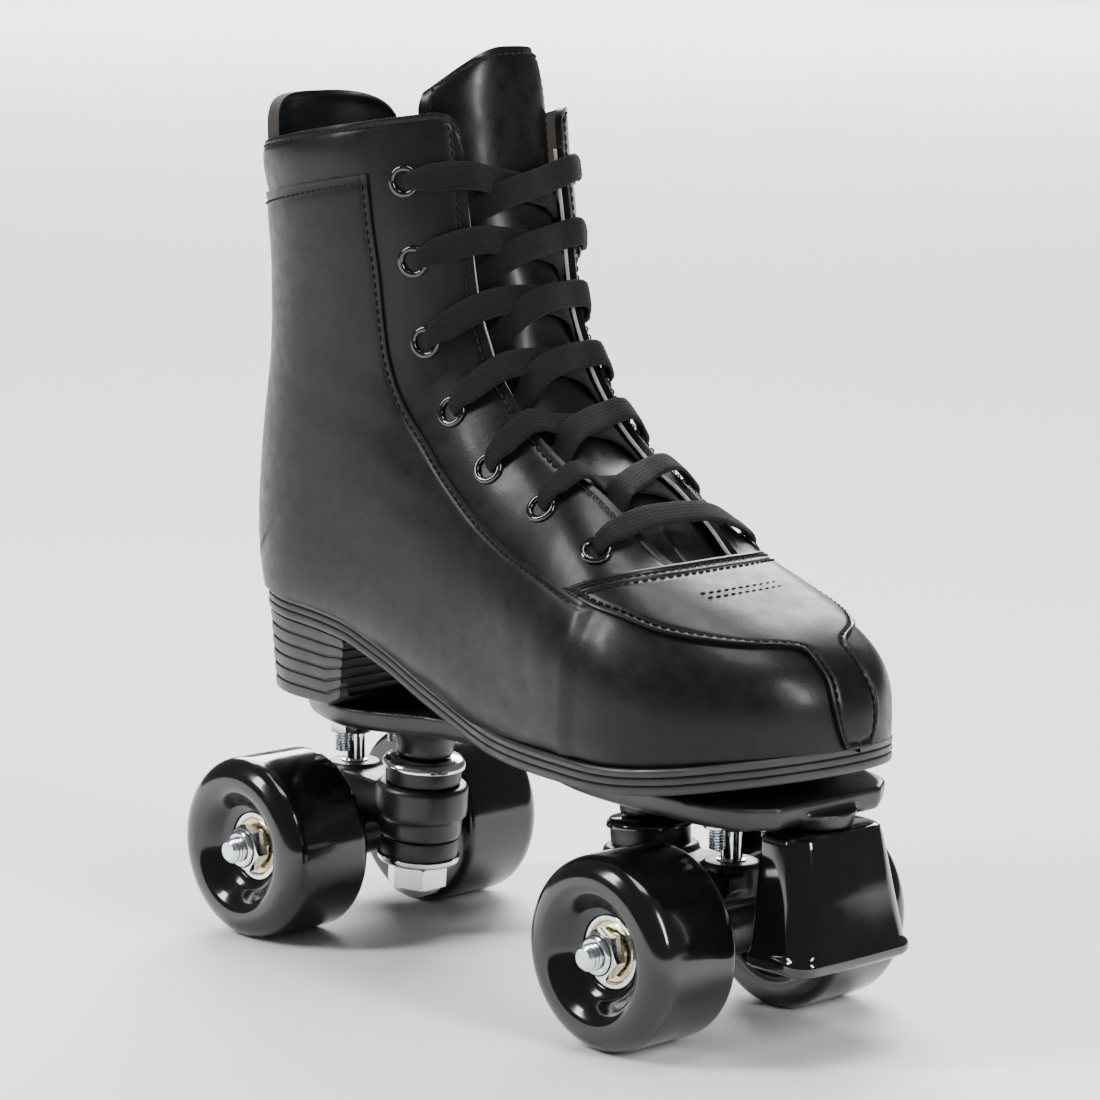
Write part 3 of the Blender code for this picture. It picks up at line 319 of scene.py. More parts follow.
class Finishes:
    """Every material of the skate, made once."""

    def __init__(self) -> None:
        """Build the materials."""
        self.leather = Leather().make()
        self.leather_fine = Leather("smooth_leather", gloss=0.3, grain=0.09).make()
        self.lining = Cloth("brown_lining", (0.040, 0.034, 0.030), (0.075, 0.066, 0.060)).make()
        self.raw_edge = Cloth("raw_edge", (0.36, 0.33, 0.29), (0.62, 0.59, 0.54)).make()
        self.thread = Cloth("black_thread", (0.006, 0.006, 0.0065), (0.02, 0.02, 0.021), 3000.0).make()
        self.braid = Braid().make()
        self.sole = Moulded("sole_rubber", (0.0135, 0.0135, 0.014), 0.42, 0.08, 0.10).make()
        self.plastic = Moulded("satin_plastic", (0.008, 0.008, 0.0085), 0.34, 0.06, 0.07).make()
        self.cushion = Moulded("cushion_rubber", (0.007, 0.007, 0.0075), 0.4, 0.06, 0.08).make()
        self.urethane = Moulded("gloss_urethane", (0.0035, 0.0035, 0.004), 0.15, 0.04, 0.012, 0.25).make()
        self.polished = Moulded("polished_rubber", (0.0028, 0.0028, 0.003), 0.06, 0.02, 0.006, 0.5).make()
        # Black gloss enamel of the eyelets; on the front top cup washer, which is chrome, it is a painted
        # dark reflection.
        self.enamel_and_painted_reflection = Moulded("black_enamel", (0.003, 0.003, 0.0033), 0.1, 0.03, 0.01, 0.6).make()
        self.chrome = Metal("bright_chrome", (0.80, 0.81, 0.82), (0.66, 0.67, 0.69), 0.1).make()
        self.zinc = Metal("blue_zinc", (0.62, 0.70, 0.76), (0.74, 0.78, 0.80), 0.2, 0.1).make()
        self.shield = Metal("yellow_shield", (0.62, 0.56, 0.30), (0.74, 0.68, 0.42), 0.2).make()


# ------------------------------------------------------------------------------------------- workshop
class Workshop:
    """Turns drawn points into Blender pieces that ride on the frame's bodies."""

    def __init__(self) -> None:
        """Start with no pieces."""
        self.made: list[str] = []

    @staticmethod
    def world(points: Array) -> Array:
        """Drawn millimetres as the frame's metres."""
        return np.asarray(points, float) * MM + np.array([AXLE_MIDDLE_X, 0.0, 0.0])

    def piece(self, name: str, points: Array, faces: list, materials: list, body: str, slot: str,
              nodes: tuple = (), paint: list | None = None, sharp: float = 40.0,
              bevel: float = 0.0) -> bpy.types.Object:
        """Make one piece of the skate.

        Args:
            name: the piece's name.
            points: drawn places, one row each.
            faces: vertex numbers of each face.
            materials: its material slots.
            body: the frame body that it rides on.
            slot: a material slot name; not used.
            nodes: the frame nodes that it stands for.
            paint: material slot number of each face, or None for the first.
            sharp: angle in degrees over which an edge stays sharp.
            bevel: width in millimetres of the rounding on its sharp edges, or 0.

        Returns:
            The new object.
        """
        mesh = bpy.data.meshes.new(name)
        mesh.from_pydata(self.world(points).tolist(), [], faces)
        obj = bpy.data.objects.new(name, mesh)
        bpy.context.scene.collection.objects.link(obj)
        for finish in materials:
            mesh.materials.append(finish)
        if paint:
            mesh.polygons.foreach_set("material_index", paint)
        self.face_out(mesh)
        mesh.shade_smooth()
        mesh.set_sharp_from_angle(angle=math.radians(sharp))
        if bevel:
            edge = obj.modifiers.new("rounded_edges", "BEVEL")
            edge.width = bevel * MM
            edge.segments = 3
            edge.limit_method = "ANGLE"
            edge.angle_limit = math.radians(50.0)
            edge.use_clamp_overlap = True
            edge.harden_normals = False
        self.place(obj, body, slot, nodes)
        return obj

    def solid(self, name: str, shape: "Solid", finish: bpy.types.Material, body: str, slot: str,
              nodes: tuple = (), sharp: float = 40.0, bevel: float = 0.0) -> bpy.types.Object:
        """Make one piece from a solid of a single finish.

        Args:
            name: the piece's name.
            shape: the solid.
            finish: its only material.
            body: the frame body that it rides on.
            slot: a material slot name; not used.
            nodes: the frame nodes that it stands for.
            sharp: angle in degrees over which an edge stays sharp.
            bevel: width in millimetres of the rounding on its sharp edges, or 0.

        Returns:
            The new object.
        """
        return self.piece(name, shape.points, shape.faces, [finish], body, slot, nodes, None, sharp, bevel)

    def shell(self, name: str, outer: Array, inner: Array, mask: Array, nodes: tuple, flip: bool,
              materials: list, slot: str = "upper_leather", bevel: float = 0.45) -> bpy.types.Object:
        """Panel between an outer and an inner grid of points.

        Args:
            name: the piece's name.
            outer: outer points, by row and column.
            inner: inner points, by row and column.
            mask: which cells exist.
            nodes: frame nodes that it stands for.
            flip: turn the faces over.
            materials: outside, inside and edge finishes.
            slot: a material slot name; not used.
            bevel: rounding of the edges in millimetres.

        Returns:
            The panel.
        """
        rows, cols = outer.shape[:2]
        index = np.arange(rows * cols).reshape(rows, cols)
        faces, paint, uses = [], [], {}
        for i, j in zip(*np.nonzero(mask)):
            quad = [index[i, j], index[i + 1, j], index[i + 1, j + 1], index[i, j + 1]]
            quad = [int(k) for k in (quad[::-1] if flip else quad)]
            faces.append(quad)
            paint.append(Paint.OUTSIDE.value)
            for a, b in zip(quad, quad[1:] + quad[:1]):
                uses[(a, b)] = True
        total = rows * cols
        border = [(a, b) for a, b in uses if (b, a) not in uses]
        walls = [[b, a, a + total, b + total] for a, b in border]
        inside = [[k + total for k in reversed(face)] for face in faces]
        paint += [Paint.INSIDE.value] * len(inside) + [Paint.EDGE.value] * len(walls)
        faces = faces + inside + walls
        points = np.concatenate([outer.reshape(-1, 3), inner.reshape(-1, 3)])
        used = sorted({k for face in faces for k in face})
        new = {k: n for n, k in enumerate(used)}
        return self.piece(name, points[used], [[new[k] for k in face] for face in faces], materials,
                               ROOT_BODY, slot, nodes, paint, sharp=50.0, bevel=bevel)

    def place(self, obj: bpy.types.Object, body: str, slot: str, nodes: tuple = ()) -> None:
        """Let a finished object ride on a body and stand for frame nodes."""
        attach(obj, body)
        if nodes:
            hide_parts(*nodes)
        self.made.append(obj.name)
        log.info("%s rides on %s, %d faces", obj.name, body, len(obj.data.polygons))

    @staticmethod
    def face_out(mesh: bpy.types.Mesh) -> None:
        """Turn a closed mesh's faces outwards."""
        work = bmesh.new()
        work.from_mesh(mesh)
        bmesh.ops.recalc_face_normals(work, faces=work.faces)
        work.to_mesh(mesh)
        work.free()

    @staticmethod
    def dress(node: str, finish: bpy.types.Material) -> None:
        """Give a frame node its finish."""
        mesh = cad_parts[node].data
        mesh.materials.clear()
        mesh.materials.append(finish)
        mesh.shade_smooth()
        mesh.set_sharp_from_angle(angle=math.radians(35.0))


@dataclass
class Solid:
    """Points and faces of a shape, which can be turned, moved and joined to others."""

    points: Array
    faces: list
    paint: list = field(default_factory=list)

    @staticmethod
    def lathe(profile: list, steps: int = 64, paint: list | None = None) -> "Solid":
        """Turned shape about +Z.

        Args:
            profile: (radius, height) points; closed if the first radius isn't 0.
            steps: segments round the axis.
            paint: material slot number of each profile span.

        Returns:
            The turned solid.
        """
        rings, points, faces, marks = [], [], [], []
        for radius, height in profile:
            if radius < 1e-6:
                rings.append([len(points)] * steps)
                points.append((0.0, 0.0, height))
                continue
            rings.append(list(range(len(points), len(points) + steps)))
            points += [(radius * math.cos(math.tau * k / steps), radius * math.sin(math.tau * k / steps),
                        height)
                       for k in range(steps)]
        spans = list(zip(rings, rings[1:]))
        if profile[0][0] > 1e-6:
            spans.append((rings[-1], rings[0]))
        for n, (a, b) in enumerate(spans):
            for k in range(steps):
                m = (k + 1) % steps
                faces.append(list(dict.fromkeys((a[k], a[m], b[m], b[k]))))
                marks.append(paint[n] if paint else 0)
        return Solid(np.array(points), faces, marks)

    @staticmethod
    def loft(rings: list, capped: bool = True) -> "Solid":
        """Closed rings of equal count joined one after another, with flat ends."""
        count = len(rings[0])
        faces = []
        for i in range(len(rings) - 1):
            for k in range(count):
                m = (k + 1) % count
                faces.append([i * count + k, i * count + m, (i + 1) * count + m, (i + 1) * count + k])
        if capped:
            last = (len(rings) - 1) * count
            faces += [list(range(count)), list(range(last, last + count))]
        return Solid(np.array([p for ring in rings for p in ring], float), faces)

    @staticmethod
    def hexagon(flats: float, low: float, high: float, bore: float, ease: tuple = (True, True)) -> "Solid":
        """Hexagonal nut about +Z whose corners are turned down to its flats at the eased ends."""
        steps = 72
        inner = flats / 2
        rings = []
        for level in range(8):
            ring = []
            for k in range(steps):
                a = math.tau * k / steps
                corner = inner / math.cos(math.radians((math.degrees(a) + 30.0) % 60.0 - 30.0))
                drop = (corner - inner * 0.99) * math.tan(math.radians(30.0))
                face = inner * 0.97
                spot = {0: (bore, low), 1: (bore + 0.4, low), 2: (face if ease[0] else corner, low),
                        3: (corner, low + (drop + 0.05 if ease[0] else 0.05)),
                        4: (corner, high - (drop + 0.05 if ease[1] else 0.05)),
                        5: (face if ease[1] else corner, high), 6: (bore + 0.4, high),
                        7: (bore, high - 0.4)}[level]
                ring.append((spot[0] * math.cos(a), spot[0] * math.sin(a), spot[1]))
            rings.append(ring)
        made = Solid.loft(rings, capped=False)
        count = steps
        for k in range(count):
            m = (k + 1) % count
            made.faces.append([7 * count + k, 7 * count + m, m, k])
        return made

    def moved(self, place: tuple | Vector, axis: tuple | Vector = (0.0, 0.0, 1.0),
              turn: float = 0.0) -> "Solid":
        """Copy with its +Z turned to an axis and its origin at a place."""
        matrix = (Matrix.Translation(Vector(place))
                  @ Vector((0.0, 0.0, 1.0)).rotation_difference(Vector(axis)).to_matrix().to_4x4()
                  @ Matrix.Rotation(turn, 4, "Z"))
        m = np.array(matrix)
        return Solid(self.points @ m[:3, :3].T + m[:3, 3], self.faces, self.paint)

    def joined(self, *others: "Solid") -> "Solid":
        """One solid holding this one and others."""
        points, faces, marks = [self.points], list(self.faces), list(self.paint or [0] * len(self.faces))
        start = len(self.points)
        for other in others:
            points.append(other.points)
            faces += [[k + start for k in face] for face in other.faces]
            marks += list(other.paint or [0] * len(other.faces))
            start += len(other.points)
        return Solid(np.concatenate(points), faces, marks)


def rounded(profile: list, radius: float = 0.5, steps: int = 3) -> list:
    """Profile with its inner corners eased by short arcs; its first and last points stay."""
    out = [profile[0]]
    for before, here, after in zip(profile, profile[1:], profile[2:]):
        b, p, a = (np.array(v, float) for v in (before, here, after))
        back, ahead = b - p, a - p
        room = min(np.linalg.norm(back), np.linalg.norm(ahead)) * 0.45
        cut = min(radius, room)
        start, stop = p + back / np.linalg.norm(back) * cut, p + ahead / np.linalg.norm(ahead) * cut
        for k in range(steps + 1):
            t = k / steps
            out.append(tuple((1 - t) ** 2 * start + 2 * t * (1 - t) * p + t * t * stop))
    return out + [profile[-1]]


def thread(radius: float, low: float, high: float, pitch: float, depth: float = 0.45) -> list:
    """Profile points of a threaded stretch, from high to low."""
    turns = max(1, int((high - low) / pitch))
    out = []
    for k in range(turns):
        top = high - k * (high - low) / turns
        out += [(radius - depth, top), (radius, top - pitch * 0.35), (radius, top - pitch * 0.6)]
    return out + [(radius - depth, low)]


def catmull(table: list, x: Array) -> Array:
    """Smooth curve through a table of (x, value) points."""
    x = np.asarray(x, float)
    xs, ys = (np.array(column, float) for column in zip(*table))
    i = np.clip(np.searchsorted(xs, x, side="left") - 1, 0, len(xs) - 2)
    gap = xs[i + 1] - xs[i]
    t = np.clip((x - xs[i]) / gap, 0.0, 1.0)
    last = len(xs) - 1
    before, beyond = np.maximum(i - 1, 0), np.minimum(i + 2, last)
    slope_a = (ys[i + 1] - ys[before]) / (xs[i + 1] - xs[before]) * gap
    slope_b = (ys[beyond] - ys[i]) / (xs[beyond] - xs[i]) * gap
    return hermite(ys[i], ys[i + 1], slope_a, slope_b, t)


def hermite(a: Array, b: Array, slope_a: Array, slope_b: Array, t: Array) -> Array:
    """Cubic between a and b with the given end slopes."""
    t2, t3 = t * t, t * t * t
    return (a * (2 * t3 - 3 * t2 + 1) + slope_a * (t3 - 2 * t2 + t)
            + b * (3 * t2 - 2 * t3) + slope_b * (t3 - t2))


def unit(vectors: Array) -> Array:
    """Vectors at length 1."""
    return vectors / np.maximum(np.linalg.norm(vectors, axis=-1, keepdims=True), 1e-9)


# ------------------------------------------------------------------------------------------- boot shape
def run_across(grid: Array) -> Array:
    """Distance along each row of a grid of points, from its first column."""
    steps = np.linalg.norm(np.diff(grid, axis=1), axis=2)
    return np.concatenate([np.zeros((len(grid), 1)), np.cumsum(steps, axis=1)], axis=1)


@dataclass
class BootSurface:
    """Outer face of the boot, by station u from the toe to the collar and angle from ridge to sole.

    Each row is a plane through a point at the sole or back (back x, back z) and one at the ridge or front
    (front x, front z), with a half width, the middle's shift to the side, the height of the widest place
    as a fraction, the roundness below and above it, and the angle of the quarter's upper seam.
    """

    toe_x: float = 132.2
    ball_x: float = 80.0
    strip_half: float = 8.5
    toe_angles: tuple = (89.6, 85.0, 77.0, 68.0, 58.0, 48.0, 37.0, 25.0, 12.5)
    sole_line: tuple = ((-119.0, 111.5), (-85.0, 109.8), (-52.0, 107.0), (-35.0, 101.0), (-14.0, 92.6),
                        (8.0, 86.6), (30.0, 84.3), (60.0, 84.1), (82.0, 84.3), (100.0, 86.2), (117.0, 89.2),
                        (134.0, 92.2))
    sections: tuple = (
        (80.0, 79.4, 80.0, 135.6, 46.4, -2.4, 0.30, 5.0, 2.80, 48.0),
        (68.0, 79.2, 70.0, 141.0, 46.2, -3.0, 0.30, 5.0, 2.65, 52.0),
        (55.0, 79.2, 60.5, 149.0, 44.8, -3.0, 0.30, 4.8, 2.45, 56.0),
        (38.0, 78.4, 48.0, 158.2, 42.8, -2.2, 0.32, 5.2, 2.40, 59.5),
        (14.0, 79.6, 33.4, 166.6, 40.5, -0.9, 0.34, 5.0, 2.40, 62.0),
        (-10.0, 84.0, 21.6, 176.2, 38.9, 0.1, 0.36, 4.2, 2.35, 63.5),
        (-36.0, 92.4, 13.4, 186.4, 38.1, 0.7, 0.38, 4.2, 2.30, 64.0),
        (-66.0, 98.0, 8.6, 195.8, 37.5, 1.3, 0.40, 4.6, 2.25, 63.0),
        (-94.5, 99.4, 6.8, 204.0, 37.2, 1.0, 0.42, 4.0, 2.20, 62.0),
        (-107.6, 106.5, 4.4, 210.2, 37.6, 1.0, 0.44, 2.9, 2.20, 62.5),
        (-112.4, 126.0, 2.2, 216.6, 38.2, 1.0, 0.45, 2.4, 2.20, 63.5),
        (-111.6, 151.0, 0.0, 223.6, 39.2, 1.0, 0.47, 2.2, 2.20, 64.5),
        (-106.6, 178.0, -2.2, 231.4, 40.4, 1.0, 0.48, 2.15, 2.20, 65.5),
        (-104.8, 206.0, -4.4, 240.0, 41.6, 0.8, 0.48, 2.1, 2.20, 66.0),
        (-106.0, 233.0, -6.4, 250.4, 42.0, 0.0, 0.48, 2.1, 2.20, 65.5),
        (-107.4, 249.0, -8.6, 266.0, 42.4, 0.0, 0.48, 2.1, 2.20, 65.5),
    )
    toe_rows: int = 9
    eyelet_stations: tuple = (13.75, 11.85, 9.55, 6.95, 5.25, 3.65, 2.0)
    eyelet_y: tuple = (33.2, 31.4, 29.0, 28.8, 30.4, 30.8, 31.4)

    def __post_init__(self) -> None:
        """Work out the rows of the toe and the main stations."""
        reach = self.toe_x - self.ball_x
        rows = [self.toe_row(self.ball_x + reach * math.sin(math.radians(a))) for a in self.toe_angles]
        self.rows = np.array(rows + list(self.sections))
        self.throat = self.toe_rows + 0.5
        self.collar_seam = self.toe_rows + 14.0
        self.top = self.toe_rows + 15.0
        self.flap_edge_y = ((self.throat, 13.5), (self.toe_rows + 2.0, 16.5), (self.toe_rows + 4.0, 18.5),
                            (self.top, 20.5))

    def sole_top(self, x: Array) -> Array:
        """Height of the outsole's top line at x."""
        return catmull(self.sole_line, x)

    def toe_round(self, x: Array, start: float, power: float) -> Array:
        """1 at start and 0 at the tip of the toe, along a rounded corner."""
        t = np.clip((np.asarray(x, float) - start) / (self.toe_x - start), 0.0, 1.0)
        return np.maximum(0.0, 1.0 - t ** power) ** (1.0 / power)

    def toe_row(self, x: float) -> tuple:
        """Upright section of the toe at x."""
        width = 46.9 * float(self.toe_round(x, 70.0, 2.1))
        low = float(self.sole_top(x)) - 5.0
        ridge = 135.6 - 0.4 * (x - self.ball_x)
        high = low + (ridge - low) * float(self.toe_round(x, 100.0, 4.0))
        middle = -2.4 + 5.4 * (x - self.ball_x) / (self.toe_x - self.ball_x)
        wing = 48.0 * math.sqrt(max(0.0, 1.0 - ((x - self.ball_x) / 40.0) ** 2))
        strip = math.degrees(math.asin(min(1.0, (self.strip_half / max(width, 0.1)) ** 1.4)))
        return (x, low, x, high, width, middle, 0.30, 5.0, 2.80, max(wing, strip))

    def section(self, u: Array) -> Array:
        """Section values at station u, on a smooth curve through the rows."""
        u = np.asarray(u, float)
        last = len(self.rows) - 1
        i = np.clip(u.astype(int), 0, last - 1)
        t = (u - i)[..., None]
        here, after = self.rows[i], self.rows[i + 1]
        before, beyond = self.rows[np.maximum(i - 1, 0)], self.rows[np.minimum(i + 2, last)]
        return hermite(here, after, (after - before) / 2, (beyond - here) / 2, t)

    def points(self, u: Array, angle: Array, side: Array) -> Array:
        """Places on the face; an angle under 0 or over 180 belongs to the other side."""
        u, angle, side = np.broadcast_arrays(np.asarray(u, float), np.asarray(angle, float), side)
        side = np.where((angle < 0) | (angle > 180), -side, side)
        angle = np.where(angle < 0, -angle, np.where(angle > 180, 360 - angle, angle))
        bx, bz, fx, fz, width, middle, widest, low_n, high_n, _ = np.moveaxis(self.section(u), -1, 0)
        c, s = np.cos(np.radians(angle)), np.maximum(np.sin(np.radians(angle)), 0.0)
        power = np.where(c >= 0, 2 / high_n, 2 / low_n)
        rise = np.abs(c) ** power
        t = np.where(c >= 0, widest + (1 - widest) * rise, widest - widest * rise)
        return np.stack([bx + (fx - bx) * t, middle + side * width * s ** power, bz + (fz - bz) * t], -1)

    def normals(self, u: Array, angle: Array, side: Array) -> Array:
        """Outward directions of the face."""
        u = np.asarray(u, float)
        along = (self.points(np.minimum(self.top, u + 0.04), angle, side)
                 - self.points(np.maximum(0.0, u - 0.04), angle, side))
        round_it = self.points(u, angle + 1.5, side) - self.points(u, angle - 1.5, side)
        return unit(np.cross(round_it, along) * np.asarray(side, float)[..., None])

    def lifted(self, u: Array, angle: Array, side: Array, height: Array) -> Array:
        """Places at a height over the face."""
        return (self.points(u, angle, side)
                + self.normals(u, angle, side) * np.asarray(height, float)[..., None])

    def angle_of_y(self, u: Array, y: Array, side: Array) -> Array:
        """Angle at which the upper part of a section reaches a distance from the middle plane."""
        values = self.section(u)
        t = np.clip((np.asarray(y) - side * values[..., 5]) / values[..., 4], 0.0, 1.0)
        return np.degrees(np.arcsin(t ** (values[..., 8] / 2)))

    def seam_angle(self, u: Array) -> Array:
        """Angle of the quarter's upper seam."""
        return self.section(u)[..., 9]

    def flap_angle(self, u: Array, side: Array) -> Array:
        """Angle of the flap's front edge."""
        return self.angle_of_y(u, catmull(self.flap_edge_y, u), side)

    def sole_angle(self, u: Array, side: Array) -> Array:
        """Angle at which a section meets the outsole's top, or 180 where it ends at the back."""
        u = np.asarray(u, float)
        low, high = np.zeros(u.shape), np.full(u.shape, 180.0)
        for _ in range(24):
            middle = (low + high) / 2
            p = self.points(u, middle, side)
            above = p[..., 2] > self.sole_top(p[..., 0]) - 0.6
            low, high = np.where(above, middle, low), np.where(above, high, middle)
        return np.where(high > 179.5, 180.0, low)

    def spread(self, u: Array, start: Array, stop: Array, side: int, marks: Array, edge: int,
               edge_end: int = 0) -> Array:
        """Angles that divide each station's stretch from start to stop by length.

        Args:
            u: stations.
            start: first angle at each station.
            stop: last angle at each station.
            side: sign of y.
            marks: distances in millimetres of the first columns from the start.
            edge: number of further columns, spread evenly over the rest.
            edge_end: if 1, the same distances are also kept from the stop.

        Returns:
            Angles, one row for each station.
        """
        fine = np.linspace(0.0, 1.0, 161)
        angles = start[:, None] + (stop - start)[:, None] * fine
        p = self.points(u[:, None], angles, side)
        run = np.concatenate([np.zeros((len(u), 1)),
                              np.cumsum(np.linalg.norm(np.diff(p, axis=1), axis=2), axis=1)], axis=1)
        out = []
        for k in range(len(u)):
            length = run[k, -1]
            squeeze = min(1.0, length / (marks[-1] * (2.4 if edge_end else 1.3)))
            head = marks * squeeze
            tail = length - head[::-1] if edge_end else np.array([length])
            rest = np.linspace(head[-1], tail[0], edge + 2)[1:-1]
            out.append(np.interp(np.concatenate([head, rest, tail]), run[k], angles[k]))
        return np.array(out)

    def shifted_angle(self, u: Array, angle: Array, side: Array, distance: Array) -> Array:
        """Angle a distance in millimetres further down the section."""
        step = np.linalg.norm(self.points(u, angle + 0.5, side) - self.points(u, angle - 0.5, side), axis=-1)
        return angle + distance / np.maximum(step, 0.05)


class Seams:
    """Rows of stitches laid along a track over a surface."""

    def __init__(self, shop: Workshop, finishes: Finishes) -> None:
        """Remember where pieces and threads come from."""
        self.shop = shop
        self.finishes = finishes

    def row(self, name: str, places: Array, normals: Array, pitch: float = 2.7, radius: float = 0.3) -> None:
        """Stitch a row.

        Args:
            name: the piece's name.
            places: points of the track.
            normals: outward directions there.
            pitch: distance between stitches.
            radius: half the thread's thickness.
        """
        run = np.concatenate([[0.0], np.cumsum(np.linalg.norm(np.diff(places, axis=0), axis=1))])
        count = max(1, int(run[-1] / pitch))
        shape = ((-0.40, -0.45, 0.35), (-0.28, 0.05, 0.9), (0.0, 0.22, 1.0), (0.28, 0.05, 0.9),
                 (0.40, -0.45, 0.35))
        stitches = []
        for k in range(count):
            centre = (k + 0.5) * run[-1] / count
            rings = []
            for share, lift, swell in shape:
                here = np.clip(centre + share * pitch, 0.0, run[-1])
                p = np.array([np.interp(here, run, places[:, n]) for n in range(3)])
                n = unit(np.array([np.interp(here, run, normals[:, m]) for m in range(3)]))
                ahead = np.array([np.interp(min(here + 0.4, run[-1]), run, places[:, m])
                                  - np.interp(max(here - 0.4, 0.0), run, places[:, m]) for m in range(3)])
                across = unit(np.cross(unit(ahead), n))
                rings.append([p + n * lift + (across * math.cos(a) + n * math.sin(a)) * radius * swell
                              for a in (math.tau * q / 6 for q in range(6))])
            stitches.append(Solid.loft(rings))
        whole = stitches[0].joined(*stitches[1:])
        self.shop.solid(name, whole, self.finishes.thread, ROOT_BODY, "upper_leather")


